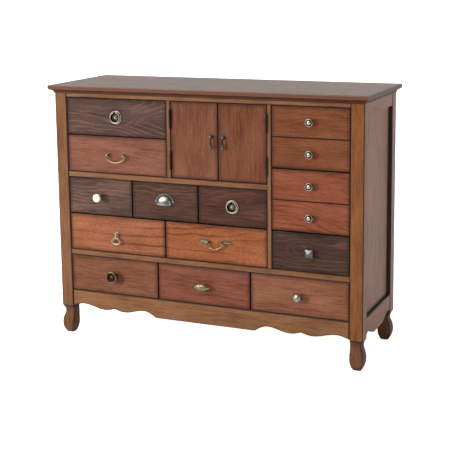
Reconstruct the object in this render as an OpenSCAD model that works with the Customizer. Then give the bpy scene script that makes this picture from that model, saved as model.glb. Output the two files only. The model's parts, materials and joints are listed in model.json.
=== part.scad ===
// Accent chest on four shaped feet: a framed case with drawers of mixed sizes,
// a two-door cabinet and a different pull on almost every front.
// Millimetres, +Z up, front towards -Y. The floor is z = 0 and x = 0 is the middle.

/* [Case] */
// Width over the posts
case_w = 1140; // [1000:10:1300]
// Depth over the posts
case_d = 384; // [330:2:450]
// Side of a square corner post
post_w = 46; // [38:1:54]
// Height of a shaped foot below its post
foot_h = 103; // [90:1:120]
// Height of the front apron's top edge above the floor
apron_top = 167.5; // [150:0.5:190]
// Opening height of one row of drawers
row_h = 133.5; // [115:0.5:150]

/* [Face frame] */
// Height of the middle and lower rails
rail_h = 19; // [14:0.5:26]
// Width of the two stiles
stile_w = 14; // [12:0.5:22]
// Height of the top rail, half of it behind the cove moulding
top_rail_h = 26; // [22:0.5:34]
// Thickness of rails, stiles and apron
frame_t = 20; // [18:0.5:24]
// Depth of the rails' faces behind the posts' faces
frame_setback = 2; // [1:0.25:4]
// Width of the upper left drawers' opening
left_bay_w = 393.5; // [340:0.5:430]
// Width of the right column's opening
column_w = 271.7; // [240:0.1:310]

/* [Top] */
// Thickness of the top board
top_t = 15; // [12:0.5:22]
// Overhang at the front and the sides
top_over = 18; // [16:0.5:26]
// Overhang at the back
top_over_back = 8; // [0:0.5:20]
// Height of the cove moulding under the top
cove_h = 13; // [12:0.5:18]
// Reach of the cove moulding out from the posts
cove_out = 14; // [13:0.5:15.5]
// Radius of the hollow in the cove moulding
cove_r = 11; // [8:0.25:11.5]
// Rounding of the top board's edge
nose_r = 4; // [2:0.25:6]

/* [Side and back] */
// Height of the rail at the top of each side
side_rail_h = 55.5; // [45:0.5:70]
// Height of the side apron's top edge above the floor
side_apron_top = 173.5; // [160:0.5:190]
// Thickness of the side panels
panel_t = 6; // [4:0.5:7]
// Depth of the side panels' faces behind the posts' faces
panel_recess = 11; // [7:0.5:12]
// Depth of the grooves that hold the side panels
panel_groove = 8; // [5:0.5:10]
// Thickness of the back panel
back_t = 6; // [4:0.5:10]
// Height of the lower back rail
back_rail_h = 60; // [40:1:80]

/* [Scallops] */
// Height of the aprons' lowest edge above the floor
apron_low = 96; // [85:0.5:105]
// Rise of the arches above that edge
arch_rise = 20; // [12:0.5:26]
// Rise of the points between the lobes
point_rise = 14; // [8:0.5:18]
// Rise of the lobes' lowest edges
lobe_rise = 5.5; // [2:0.5:8]
// Half of the straight length in the middle of the front apron
apron_flat = 188; // [120:1:230]

/* [Feet] */
// Depth of the hollow in a foot's outer faces
ankle_in = 8; // [5:0.25:10]
// Distance of the hollow's deepest point below the foot's top
ankle_down = 20; // [17:0.5:22]
// Height of the bulb's fullest point
bulb_mid = 38; // [32:0.5:40]
// Taper of the bulb to the floor, on each side
toe_in = 11; // [6:0.25:13]

/* [Drawers and doors] */
// Thickness of drawer fronts and doors
front_t = 18; // [15:0.5:20]
// Gap round each front and door
front_gap = 2.5; // [2:0.25:3.5]
// Bevel on the edges of fronts and doors
front_bevel = 1.2; // [0.5:0.1:2]
// Thickness of a drawer's sides and back
box_t = 10; // [8:0.5:13]
// Thickness of a drawer's bottom
bottom_t = 5; // [3:0.5:7]
// Height of a drawer's bottom above its sides' lower edge
bottom_lift = 6; // [3:0.5:10]
// Thickness of partitions and dust panels
divider_t = 12; // [9:0.5:16]
// Free space behind a closed drawer
box_back_gap = 10; // [5:1:40]
// Free space above a drawer's box
box_top_gap = 5; // [3:0.5:12]
// Free space at each side of a drawer's box
box_side_gap = 1.2; // [0.8:0.1:2.5]
// Width of the scored line across the two deep column fronts
score_w = 3; // [1.5:0.25:5]

/* [Hinges] */
// Length of a butt hinge
hinge_len = 64; // [50:1:76]
// Distance from a door's end to the middle of its hinge
hinge_inset = 60; // [50:1:75]
// Radius of a hinge's barrel
barrel_r = 3.3; // [2.8:0.1:3.6]
// Radius of a hinge's pin
hinge_pin_r = 1.5; // [1.1:0.1:1.7]
// Thickness of a hinge leaf
leaf_t = 1; // [0.7:0.05:1.1]
// Depth of a hinge leaf behind the barrel's axis
leaf_d = 17; // [12:0.5:19]

/* [Round knobs] */
// Radius of a stepped pewter knob
step_knob_r = 13; // [10:0.25:16]
// Reach of a stepped pewter knob
step_knob_reach = 24; // [18:0.5:30]
// Radius of the ivory knob
ivory_knob_r = 15; // [12:0.25:18]
// Reach of the ivory knob
ivory_knob_reach = 34; // [26:0.5:40]
// Radius of the dished bronze knob
dish_knob_r = 21; // [16:0.25:25]
// Reach of the dished bronze knob
dish_knob_reach = 30; // [22:0.5:36]
// Radius of the hammered knob
hammer_knob_r = 14.5; // [11:0.25:18]
// Length of the oval knob
oval_knob_len = 62; // [48:1:72]
// Thickness of the oval knob
oval_knob_h = 27; // [20:0.5:32]
// Side of the square knob
square_knob_w = 27; // [20:0.5:34]
// Reach of the square knob
square_knob_reach = 26; // [20:0.5:32]

/* [Ring pulls] */
// Radius of a rosette plate
rosette_r = 23; // [21.5:0.25:27]
// Thickness of a rosette plate
rosette_t = 2.4; // [1.6:0.1:3.2]
// Radius of the rosette's middle boss
rosette_boss_r = 7.5; // [5:0.25:9]
// Radius of the ring's centre line
ring_r = 18.5; // [17:0.25:20]
// Radius of the ring's rod
ring_rod_r = 2.1; // [1.7:0.05:2.3]
// Distance of the ring's pivot from the front
ring_out = 8; // [7:0.25:10]

/* [Bail pulls] */
// Drop of a bail's bow below its pivots
bail_drop = 25; // [23:0.5:30]
// Drop of the ornate bail's bow below its pivots
leaf_bail_drop = 22; // [21:0.5:26]
// Radius of a bail's elbows
bail_elbow_r = 3.8; // [3:0.1:4.4]
// Radius of a bail's rod
bail_rod_r = 2.3; // [1.8:0.05:2.6]
// Half angle of a bail's bow
bail_angle = 53; // [48:1:58]
// Distance of a bail's pivot from the front
bail_out = 14; // [11:0.5:18]
// Length of a leaf plate
leaf_plate_len = 40; // [34:0.5:46]
// Width of a leaf plate
leaf_plate_w = 18; // [14:0.5:22]

/* [Cup pull] */
// Radius of the cup
cup_r = 30.5; // [26:0.5:34]
// Reach of the cup
cup_reach = 23; // [18:0.5:28]
// Width of the flange round the cup
cup_flange = 6.5; // [6.5:0.25:9]
// Radius of the flange's ears round its screws
cup_ear_r = 4.6; // [4:0.1:5.5]
// Thickness of the cup's wall
cup_wall = 1.8; // [1.2:0.1:2.5]

/* [Hanging drops] */
// Length of a door's pendant below its pivot
pendant_len = 43; // [34:1:52]
// Largest radius of a door's pendant
pendant_r = 5.25; // [4:0.25:7]
// Distance of a drop's pivot from the front
drop_out = 12; // [10.5:0.25:15]
// Half width of the drop pull's loop
loop_r = 16.5; // [14:0.5:18]
// Radius of the loop's rod
loop_rod_r = 2.5; // [1.8:0.1:3]
// Length of the drop pull from its pivot to its loop's middle
loop_drop = 28; // [26:0.5:32]

/* [Hidden] */
$fn = 48;

cut = 1;               // overrun of cuts
seat_gap = 0.3;        // clearance of pieces that slide or rest near each other
pivot_gap = 0.06;      // radial clearance of a pin in its bore
knuckle_gap = 0.2;     // gap between hinge knuckles and past their ends
glue_line = 0.1;       // gap between boards glued together in one node
stop_gap = 0.5;        // gap between a closed front and the dividers behind it
screw_r = 2;           // pull screws
screw_hole_r = 2.3;
screw_head_r = 4.2;
screw_head_h = 2.4;

// Heights of the rows, from the bottom: D, C, B, A2 and A1
d_z = [apron_top, apron_top + row_h];
c_z = [d_z[1] + rail_h, d_z[1] + rail_h + row_h];
b_z = [c_z[1], c_z[1] + row_h];
a2_z = [b_z[1] + rail_h, b_z[1] + rail_h + row_h];
a1_z = [a2_z[1], a2_z[1] + row_h];
case_top = a1_z[1] + top_rail_h;
total_h = case_top + top_t;

// The deepest pull decides where the middle of the whole depth lies
hammer_foot = hammer_knob_r * 0.6;
hammer_ball = hammer_foot + hammer_knob_r * 0.7;
oval_neck = oval_knob_h * 0.5;
oval_mid = oval_neck + oval_knob_h / 4;
pull_reach = max(ivory_knob_reach, dish_knob_reach, square_knob_reach, step_knob_reach, cup_reach,
                 hammer_ball + hammer_knob_r, oval_mid + oval_knob_h / 2, bail_out + bail_rod_r * 1.9);
face_in = frame_setback + frame_t - stop_gap - front_t;
total_d = case_d + top_over_back + max(pull_reach - face_in, top_over);
front_y = -total_d / 2 + max(pull_reach - face_in, top_over);
rear_y = front_y + case_d;
frame_back = front_y + frame_setback + frame_t;
face_y = frame_back - stop_gap - front_t;

// Places across the width
side_x = case_w / 2;
inner_x = side_x - post_w;
door_stile_x = [-inner_x + left_bay_w, -inner_x + left_bay_w + stile_w];
column_stile_x = [inner_x - column_w - stile_w, inner_x - column_w];
row_w = column_stile_x[0] + inner_x;
b_x = [-inner_x, -inner_x + row_w / 3, -inner_x + row_w * 2 / 3, column_stile_x[0]];
c_x = [-inner_x, -inner_x + row_w / 2, column_stile_x[0]];
d_x = [-inner_x, -inner_x / 3, inner_x / 3, inner_x];
door_mid = (door_stile_x[1] + column_stile_x[0]) / 2;
column_mid_z = (c_z[1] + a1_z[1]) / 2;

// One bay: its opening in x and z, then what hidden dividers take off each side
half = divider_t / 2;
bay_a1 = [-inner_x, door_stile_x[0], a1_z[0], a1_z[1], 0, 0, half, 0];
bay_a2 = [-inner_x, door_stile_x[0], a2_z[0], a2_z[1], 0, 0, 0, half];
bay_b1 = [b_x[0], b_x[1], b_z[0], b_z[1], 0, half, half, 0];
bay_b2 = [b_x[1], b_x[2], b_z[0], b_z[1], half, half, half, 0];
bay_b3 = [b_x[2], b_x[3], b_z[0], b_z[1], half, 0, half, 0];
bay_c1 = [c_x[0], c_x[1], c_z[0], c_z[1], 0, half, 0, half];
bay_c2 = [c_x[1], c_x[2], c_z[0], c_z[1], half, 0, 0, half];
bay_d1 = [d_x[0], d_x[1], d_z[0], d_z[1], 0, half, 0, 0];
bay_d2 = [d_x[1], d_x[2], d_z[0], d_z[1], half, half, 0, 0];
bay_d3 = [d_x[2], d_x[3], d_z[0], d_z[1], half, 0, 0, 0];
bay_e1 = [column_stile_x[1], inner_x, column_mid_z, a1_z[1], 0, 0, half, 0];
bay_e2 = [column_stile_x[1], inner_x, c_z[1], column_mid_z, 0, 0, half, half];
bay_e3 = [column_stile_x[1], inner_x, c_z[0], c_z[1], 0, 0, 0, half];

function mid_x(bay) = (bay[0] + bay[1]) / 2;
function mid_z(bay) = (bay[2] + bay[3]) / 2;
function share_z(bay, share) = bay[2] + (bay[3] - bay[2]) * share;

// Points along a round arc
function arc(centre, r, a0, a1, steps = 8) =
    [for (i = [0 : steps]) let (a = a0 + (a1 - a0) * i / steps)
        [centre[0] + r * cos(a), centre[1] + r * sin(a)]];

// A stretch of scalloped edge from p to q. "ease" is level at both ends,
// "rise" starts steep and ends level, "fall" starts level and ends steep.
function stretch(p, q, kind, steps = 7) =
    [for (i = [1 : steps]) let (t = i / steps,
        f = kind == "ease" ? (1 - cos(180 * t)) / 2 : kind == "rise" ? sin(90 * t) : 1 - cos(90 * t))
        [p[0] + (q[0] - p[0]) * t, p[1] + (q[1] - p[1]) * f]];

// The edge through a list of [point, kind of the stretch that ends there]
function scallop(stops) = concat([stops[0][0]],
    [for (i = [1 : len(stops) - 1]) each stretch(stops[i - 1][0], stops[i][0], stops[i][1])]);

function mirrored(points) = [for (i = [len(points) - 1 : -1 : 0]) [-points[i][0], points[i][1]]];

// A profile in Y and Z, drawn along X between x0 and x1
module along_x(x0, x1)
    translate([x0, 0, 0]) rotate([90, 0, 90]) linear_extrude(x1 - x0) children();

// A profile in X and Z, drawn along Y between y0 and y1
module along_y(y0, y1)
    translate([0, y1, 0]) rotate([90, 0, 0]) linear_extrude(y1 - y0) children();

// A box between two corners
module block(low, high) translate(low) cube(high - low);

// Puts a pull on a front: its own x is right, y is up and z comes out of the front
module on_front(x, z) translate([x, face_y, z]) rotate([90, 0, 0]) children();

module wood() color("peru") children();
module dark_wood() color("#4a3228") children();
module red_wood() color("#96502f") children();
module orange_wood() color("#b8683a") children();
module pale_wood() color("burlywood") children();
module pewter() color("silver") children();
module brass() color("#a8925c") children();
module bronze() color("#5b4636") children();

// Top board: the edge is rounded on the front and both sides, square at the back
module top_board() wood()
    intersection() {
        along_x(-side_x - top_over, side_x + top_over)
            nosed([front_y - top_over, rear_y + top_over_back], false);
        along_y(front_y - top_over, rear_y + top_over_back)
            nosed([-side_x - top_over, side_x + top_over], true);
    }

// Section of the top board between two places, rounded at its low end or at both
module nosed(span, both) {
    high_end = both ? span[1] - nose_r : span[1];
    translate([span[0] + nose_r, case_top])
        square([high_end - span[0] - nose_r, top_t]);
    translate([span[0], case_top + nose_r])
        square([(both ? span[1] : high_end) - span[0], top_t - 2 * nose_r]);
    for (z = [case_top + nose_r, case_top + top_t - nose_r]) {
        translate([span[0] + nose_r, z]) circle(nose_r);
        if (both) translate([span[1] - nose_r, z]) circle(nose_r);
    }
}

// Cove moulding, mitred round the front and both sides under the top board
module top_moulding() wood()
    difference() {
        intersection() {
            along_x(-side_x - cove_out, side_x + cove_out)
                coved([front_y - cove_out, rear_y], false);
            along_y(front_y - cove_out, rear_y)
                coved([-side_x - cove_out, side_x + cove_out], true);
        }
        block([-side_x, front_y, case_top - cove_h - cut], [side_x, rear_y + cut, case_top + cut]);
    }

// Section of the moulding's outline, hollowed at its low end or at both
module coved(span, both)
    difference() {
        translate([span[0], case_top - cove_h]) square([span[1] - span[0], cove_h]);
        hollow(span[0], 1);
        if (both) hollow(span[1], -1);
    }

module hollow(edge, way) {
    lip = (cove_out - cove_r) / 3;
    translate([edge + way * lip, case_top - cove_h]) circle(cove_r);
    translate([edge + (way > 0 ? -cut : -lip), case_top - cove_h - cut])
        square([lip + cut, cove_r + cut]);
}

// Corner post at its outer corner; signs say which way the case lies from there
module post(x, y, way_x, way_y, back)
    difference() {
        block([min(x, x + way_x * post_w), min(y, y + way_y * post_w), foot_h],
              [max(x, x + way_x * post_w), max(y, y + way_y * post_w), case_top]);
        panel_slot(x, y, way_x, way_y);
        if (back)
            block([min(x + way_x * (post_w - panel_groove), x + way_x * (post_w + cut)), y - back_t,
                   back_bottom],
                  [max(x + way_x * (post_w - panel_groove), x + way_x * (post_w + cut)), y + cut,
                   case_top + cut]);
    }

back_bottom = apron_top - divider_t;
slot_low = side_apron_top - panel_groove;
slot_high = case_top - side_rail_h + panel_groove;

// Groove for a side panel in the face of a post
module panel_slot(x, y, way_x, way_y) {
    near = x + way_x * panel_recess;
    far = x + way_x * (panel_recess + panel_t);
    wall = y + way_y * post_w;
    block([min(near, far), min(wall - way_y * panel_groove, wall + way_y * cut), slot_low],
          [max(near, far), max(wall - way_y * panel_groove, wall + way_y * cut), slot_high]);
}

module front_left_post() wood() post(-side_x, front_y, 1, 1, false);
module front_right_post() wood() post(side_x, front_y, -1, 1, false);
module rear_posts() wood() {
    post(-side_x, rear_y, 1, -1, true);
    post(side_x, rear_y, -1, -1, true);
}

// Side view of a foot. The outer edge at 0 runs in one smooth line through a hollow
// ankle and a full bulb to the floor, and the inner edge is straight down to the toe.
bulge = ankle_in / 8;
module foot_outline() {
    ankle_z = foot_h - ankle_down;
    ankle_r = (ankle_down * ankle_down + ankle_in * ankle_in) / (2 * ankle_in);
    fall = ankle_z - bulb_mid;
    swing = ankle_in + bulge;
    bulb_r = fall * fall / (2 * swing) + swing / 2 - ankle_r;
    join_a = asin(fall / (ankle_r + bulb_r));
    heel_in = toe_in + bulge;
    heel_r = (bulb_mid * bulb_mid + heel_in * heel_in) / (2 * heel_in);
    heel_a = asin(bulb_mid / heel_r);
    toe_r = (bulb_mid * bulb_mid + toe_in * toe_in) / (2 * toe_in);
    toe_a = asin(bulb_mid / toe_r);
    polygon(concat(
        arc([ankle_in - ankle_r, ankle_z], ankle_r, asin(ankle_down / ankle_r), -join_a),
        past_first(arc([bulb_r - bulge, bulb_mid], bulb_r, 180 - join_a, 180, 6)),
        past_first(arc([heel_r - bulge, bulb_mid], heel_r, 180, 180 + heel_a)),
        arc([post_w - toe_r, bulb_mid], toe_r, -toe_a, 0),
        [[post_w, foot_h]]));
}

// A foot under the post whose outer corner is at x, y
module foot(x, y, way_x, way_y)
    intersection() {
        translate([x, 0, 0]) scale_way(way_x, 1)
            along_y(min(y - way_y * post_w, y + way_y * 2 * post_w),
                    max(y - way_y * post_w, y + way_y * 2 * post_w)) foot_outline();
        translate([0, y, 0]) scale_way(1, way_y)
            along_x(min(x - way_x * post_w, x + way_x * 2 * post_w),
                    max(x - way_x * post_w, x + way_x * 2 * post_w)) foot_outline();
    }

module scale_way(way_x, way_y)
    mirror([way_x < 0 ? 1 : 0, 0, 0]) mirror([0, way_y < 0 ? 1 : 0, 0]) children();

module front_feet() wood() {
    foot(-side_x, front_y, 1, 1);
    foot(side_x, front_y, -1, 1);
}
module rear_feet() wood() {
    foot(-side_x, rear_y, 1, -1);
    foot(side_x, rear_y, -1, -1);
}

// Front apron: arch, lobe, point, lobe and arch from each post to the straight middle
arch_in_share = 0.14;
lobe_in_share = 0.378;
point_share = 0.497;
lobe_out_share = 0.616;
arch_out_share = 0.863;
end_rise_share = 0.45;
module front_apron() wood() {
    run = inner_x - apron_flat;
    right = scallop([
        [[apron_flat, apron_low], ""],
        [[apron_flat + run * arch_in_share, apron_low + arch_rise], "rise"],
        [[apron_flat + run * lobe_in_share, apron_low + lobe_rise], "ease"],
        [[apron_flat + run * point_share, apron_low + point_rise], "fall"],
        [[apron_flat + run * lobe_out_share, apron_low + lobe_rise], "rise"],
        [[apron_flat + run * arch_out_share, apron_low + arch_rise], "ease"],
        [[inner_x, apron_low + arch_rise * end_rise_share], "fall"]]);
    along_y(frame_back - frame_t, frame_back)
        polygon(concat([[-inner_x, apron_top]], mirrored(right), right, [[inner_x, apron_top]]));
}

// Side aprons: one arch at each post and a low middle, with the panel's groove on top
side_arch_share = 0.81;
side_low_share = 0.3;
module side_apron_outline() {
    half_run = (case_d - 2 * post_w) / 2;
    right = scallop([
        [[0, apron_low], ""],
        [[half_run * side_low_share, apron_low], "ease"],
        [[half_run * side_arch_share, apron_low + arch_rise * 1.2], "ease"],
        [[half_run, apron_low + arch_rise * 0.85], "fall"]]);
    translate([(front_y + rear_y) / 2, 0])
        polygon(concat([[-half_run, side_apron_top]], mirrored(right),
                       [for (i = [1 : len(right) - 1]) right[i]], [[half_run, side_apron_top]]));
}

side_setback = 1;
module side_aprons() wood()
    for (way = [-1, 1]) {
        outer = way * (side_x - side_setback);
        inner = outer - way * frame_t;
        difference() {
            along_x(min(outer, inner), max(outer, inner)) side_apron_outline();
            panel_space(way);
        }
    }

// Room of one side panel with its tongues
module panel_space(way) {
    outer = way * (side_x - panel_recess);
    inner = outer - way * panel_t;
    block([min(outer, inner), front_y + post_w - panel_groove, slot_low],
          [max(outer, inner), rear_y - post_w + panel_groove, slot_high]);
}

module side_panels() wood()
    for (way = [-1, 1]) panel_space(way);

// Rails at the top of the sides, and the low rail across the back
module case_rails() wood() {
    for (way = [-1, 1]) {
        outer = way * (side_x - side_setback);
        inner = outer - way * frame_t;
        difference() {
            block([min(outer, inner), front_y + post_w, case_top - side_rail_h],
                  [max(outer, inner), rear_y - post_w, case_top]);
            panel_space(way);
        }
    }
    back_low = [back_bottom - back_rail_h, back_bottom];
    block([-inner_x, rear_y - frame_t, back_low[0]], [inner_x, rear_y, back_low[1]]);
}

// Face frame
module rail(x0, x1, z0, z1)
    block([x0, frame_back - frame_t, z0], [x1, frame_back, z1]);
module top_rail() wood() rail(-inner_x, inner_x, a1_z[1], case_top);
module middle_rail() wood() rail(-inner_x, column_stile_x[0], b_z[1], a2_z[0]);
module lower_rail() wood() rail(-inner_x, inner_x, d_z[1], c_z[0]);
module door_stile() wood() rail(door_stile_x[0], door_stile_x[1], a2_z[0], a1_z[1]);
module column_stile() wood() rail(column_stile_x[0], column_stile_x[1], c_z[0], a1_z[1]);

// Back panel in the rebates of the rear posts, from the bottom board to the top
module back_panel() wood()
    block([-inner_x - panel_groove, rear_y - back_t, back_bottom],
          [inner_x + panel_groove, rear_y, case_top]);

// Upright partitions, and the two liner boards that guide the outer drawers
inside_y = rear_y - back_t;
module upright(x, z0, z1)
    block([x - half, frame_back, z0], [x + half, inside_y, z1]);
module partitions() pale_wood() {
    for (way = [-1, 1])
        block([min(way * inner_x, way * (inner_x + divider_t)), front_y + post_w, back_bottom],
              [max(way * inner_x, way * (inner_x + divider_t)), rear_y - post_w, case_top]);
    upright((door_stile_x[0] + door_stile_x[1]) / 2, a2_z[0], case_top);
    upright((column_stile_x[0] + column_stile_x[1]) / 2, c_z[0], case_top);
    for (x = [b_x[1], b_x[2]]) upright(x, b_z[0] + half, a2_z[0] - divider_t);
    upright(c_x[1], c_z[0], b_z[0] - half);
    for (x = [d_x[1], d_x[2]]) upright(x, d_z[0], c_z[0] - divider_t);
}

// Level boards under each row; their tops carry the drawers' sides
module level(x0, x1, top) block([x0, frame_back, top - divider_t], [x1, inside_y, top]);
door_part = (door_stile_x[0] + door_stile_x[1]) / 2;
column_part = (column_stile_x[0] + column_stile_x[1]) / 2;
module dust_panels() pale_wood() {
    level(-inner_x, inner_x, d_z[0]);
    level(-inner_x, inner_x, c_z[0]);
    level(-inner_x, column_part - half, b_z[0] + half);
    level(-inner_x, column_part - half, a2_z[0]);
    level(-inner_x, door_part - half, a1_z[0] + half);
    level(column_part + half, inner_x, c_z[1] + half);
    level(column_part + half, inner_x, column_mid_z + half);
}

// Strip behind the top rail that the closed doors meet
stop_h = 20;
module door_stop() pale_wood()
    block([door_part + half, face_y + front_t + seat_gap + stop_gap, a1_z[1] - stop_h / 2],
          [column_part - half, face_y + front_t + seat_gap + stop_gap + divider_t, case_top]);

// A flat front with bevelled edges on its face
module bevelled(x0, x1, z0, z1) {
    back = face_y + front_t;
    intersection() {
        along_x(x0, x1)
            polygon([[back, z0], [back, z1], [face_y + front_bevel, z1], [face_y, z1 - front_bevel],
                     [face_y, z0 + front_bevel], [face_y + front_bevel, z0]]);
        translate([0, 0, z0]) linear_extrude(z1 - z0)
            polygon([[x0, back], [x1, back], [x1, face_y + front_bevel], [x1 - front_bevel, face_y],
                     [x0 + front_bevel, face_y], [x0, face_y + front_bevel]]);
    }
}

// Holes for pull screws, at places on the front
module screw_holes(places)
    for (p = places)
        on_front(p[0], p[1]) translate([0, 0, -front_t - cut])
            cylinder(r = screw_hole_r, h = front_t + 2 * cut);

// A drawer: front, two sides, back and a bottom let into the sides and front
module drawer(bay, places, scored = false) {
    x0 = bay[0] + front_gap;
    x1 = bay[1] - front_gap;
    z0 = bay[2] + front_gap;
    z1 = bay[3] - front_gap;
    box_x = [bay[0] + max(bay[4], front_gap) + box_side_gap, bay[1] - max(bay[5], front_gap) - box_side_gap];
    box_z = [bay[2] + bay[6] + seat_gap, bay[3] - bay[7] - box_top_gap];
    box_y = [face_y + front_t + glue_line, inside_y - box_back_gap];
    low = box_z[0] + bottom_lift;
    tongue = box_t / 2;
    difference() {
        bevelled(x0, x1, z0, z1);
        screw_holes(places);
        if (scored)
            along_x(x0 - cut, x1 + cut)
                translate([face_y, mid_z(bay)]) rotate(45)
                    square(score_w / sqrt(2), center = true);
    }
    pale_wood() {
        for (side = [[box_x[0], 1], [box_x[1], -1]])
            difference() {
                block([min(side[0], side[0] + side[1] * box_t), box_y[0], box_z[0]],
                      [max(side[0], side[0] + side[1] * box_t), box_y[1], box_z[1]]);
                block([min(side[0] + side[1] * tongue, side[0] + side[1] * (box_t + cut)),
                       box_y[0] - cut, low],
                      [max(side[0] + side[1] * tongue, side[0] + side[1] * (box_t + cut)),
                       box_y[1] + cut, low + bottom_t]);
            }
        block([box_x[0] + box_t + glue_line, box_y[1] - box_t, low + bottom_t + glue_line],
              [box_x[1] - box_t - glue_line, box_y[1], box_z[1]]);
        block([box_x[0] + tongue + glue_line, box_y[0], low + glue_line],
              [box_x[1] - tongue - glue_line, box_y[1], low + bottom_t - glue_line]);
    }
}

// Places of the pulls' screws on their fronts
leaf_rise_share = 0.05;
function post_half(drop) = bow_elbow_x(drop) - bail_elbow_r;
function at_middle(bay) = [[mid_x(bay), mid_z(bay)]];
function at_pair(bay, out, up = 0) =
    [for (way = [-1, 1]) [mid_x(bay) + way * out, mid_z(bay) + up]];
function at_quarters(bay) = [[mid_x(bay), share_z(bay, 1 / 4)], [mid_x(bay), share_z(bay, 3 / 4)]];

module upper_left_drawer() dark_wood() drawer(bay_a1, at_middle(bay_a1));
module second_left_drawer() red_wood() drawer(bay_a2, at_pair(bay_a2, post_half(bail_drop)));
module third_row_left_drawer() dark_wood() drawer(bay_b1, at_middle(bay_b1));
module third_row_middle_drawer() dark_wood() drawer(bay_b2, at_pair(bay_b2, cup_screw_x));
module third_row_right_drawer() dark_wood() drawer(bay_b3, at_middle(bay_b3));
module fourth_row_left_drawer() orange_wood() drawer(bay_c1, [[mid_x(bay_c1), drop_z]]);
leaf_rise = row_h * leaf_rise_share;
module fourth_row_right_drawer() orange_wood()
    drawer(bay_c2, at_pair(bay_c2, post_half(leaf_bail_drop), leaf_rise));
module bottom_left_drawer() red_wood() drawer(bay_d1, at_middle(bay_d1));
module bottom_middle_drawer() red_wood() drawer(bay_d2, at_middle(bay_d2));
module bottom_right_drawer() red_wood() drawer(bay_d3, at_middle(bay_d3));
module column_top_drawer() red_wood() drawer(bay_e1, at_quarters(bay_e1), true);
module column_middle_drawer() red_wood() drawer(bay_e2, at_quarters(bay_e2), true);
module column_low_drawer() dark_wood() drawer(bay_e3, at_middle(bay_e3));

// Doors; the gap between them lets both swing at once
door_gap = front_gap * 1.4;
door_z = [a2_z[0] + front_gap, a1_z[1] - front_gap];
left_door_x = [door_stile_x[1] + front_gap, door_mid - door_gap / 2];
right_door_x = [door_mid + door_gap / 2, column_stile_x[0] - front_gap];
pendant_inset = 20;
pendant_rise_share = 0.565;
pendant_z = door_z[0] + (door_z[1] - door_z[0]) * pendant_rise_share;
left_pendant_x = left_door_x[1] - pendant_inset;
right_pendant_x = right_door_x[0] + pendant_inset;

module door(x, place)
    difference() {
        bevelled(x[0], x[1], door_z[0], door_z[1]);
        screw_holes([place]);
    }
module left_door() red_wood() door(left_door_x, [left_pendant_x, pendant_z]);
module right_door() red_wood() door(right_door_x, [right_pendant_x, pendant_z]);

// Butt hinges: five knuckles, the fixed leaf has the outer and middle ones and the pin
hinge_y = front_y + frame_setback - barrel_r - knuckle_gap;
hinge_mids = [door_z[0] + hinge_inset, door_z[1] - hinge_inset];
knuckle_len = hinge_len / 5;
module knuckle(i, r, bore)
    translate([0, 0, -hinge_len / 2 + i * knuckle_len + knuckle_gap / 2])
        difference() {
            cylinder(r = r, h = knuckle_len - knuckle_gap);
            if (bore > 0) translate([0, 0, -cut]) cylinder(r = bore, h = knuckle_len + 2 * cut);
        }

// One hinge half on its axis; way is +1 where the leaf lies at the high x side
module hinge_half(way, knuckles, bore) {
    inner = way * (front_gap / 2 - leaf_t);
    outer = way * front_gap / 2;
    for (i = knuckles) {
        knuckle(i, barrel_r, bore);
        difference() {
            translate([min(inner, outer), 0, -hinge_len / 2 + i * knuckle_len + knuckle_gap / 2])
                cube([leaf_t, barrel_r + knuckle_gap, knuckle_len - knuckle_gap]);
            cylinder(r = barrel_r - leaf_t, h = hinge_len, center = true);
        }
    }
    block([min(inner, outer), barrel_r + knuckle_gap, -hinge_len / 2],
          [max(inner, outer), leaf_d, hinge_len / 2]);
}

hinge_x = [door_stile_x[1] + front_gap / 2, column_stile_x[0] - front_gap / 2];
module fixed_hinge_leaves() pewter()
    for (z = hinge_mids, side = [0, 1])
        translate([hinge_x[side], hinge_y, z]) {
            hinge_half(side * 2 - 1, [0, 2, 4], 0);
            cylinder(r = hinge_pin_r, h = hinge_len - knuckle_gap, center = true);
            for (end = [0, 1]) mirror([0, 0, end])
                translate([0, 0, (hinge_len - knuckle_gap) / 2])
                    cylinder(r1 = barrel_r, r2 = hinge_pin_r, h = barrel_r / 2);
        }

module moving_leaves(x, way)
    for (z = hinge_mids)
        translate([x, hinge_y, z]) hinge_half(way, [1, 3], hinge_pin_r + pivot_gap);
module left_door_hinge_leaves() pewter() moving_leaves(hinge_x[0], 1);
module right_door_hinge_leaves() pewter() moving_leaves(hinge_x[1], -1);

// Screw from inside the front, up to the back of a pull
module pull_screw() {
    translate([0, 0, -front_t]) cylinder(r = screw_r, h = front_t - glue_line);
    translate([0, 0, -front_t - screw_head_h]) cylinder(r = screw_head_r, h = screw_head_h);
}

// A turned pull from a profile in shares of its radius and reach
function turned(shares, r, reach) = [for (s = shares) [s[0] * r, s[1] * reach]];
function dome_shares(from_r, from_z, to_z) =
    [for (i = [0 : 8]) [from_r * cos(90 * i / 8), from_z + (to_z - from_z) * sin(90 * i / 8)]];
module turned_knob(shares, r, reach) {
    rotate_extrude() polygon(turned(shares, r, reach));
    pull_screw();
}

// Stepped pewter knob: flange, neck, rim, groove and a dome in the middle
step_knob_shares = concat(
    [[0, 0], [0.66, 0], [0.66, 0.07], [0.42, 0.16], [0.36, 0.45], [0.6, 0.56], [0.97, 0.62],
     [1, 0.68], [0.97, 0.75], [0.84, 0.77], [0.74, 0.69], [0.62, 0.69]],
    dome_shares(0.6, 0.72, 1));
module step_knobs(bay) pewter()
    for (p = at_quarters(bay))
        on_front(p[0], p[1]) turned_knob(step_knob_shares, step_knob_r, step_knob_reach);
module column_top_knobs() step_knobs(bay_e1);
module column_middle_knobs() step_knobs(bay_e2);

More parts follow.
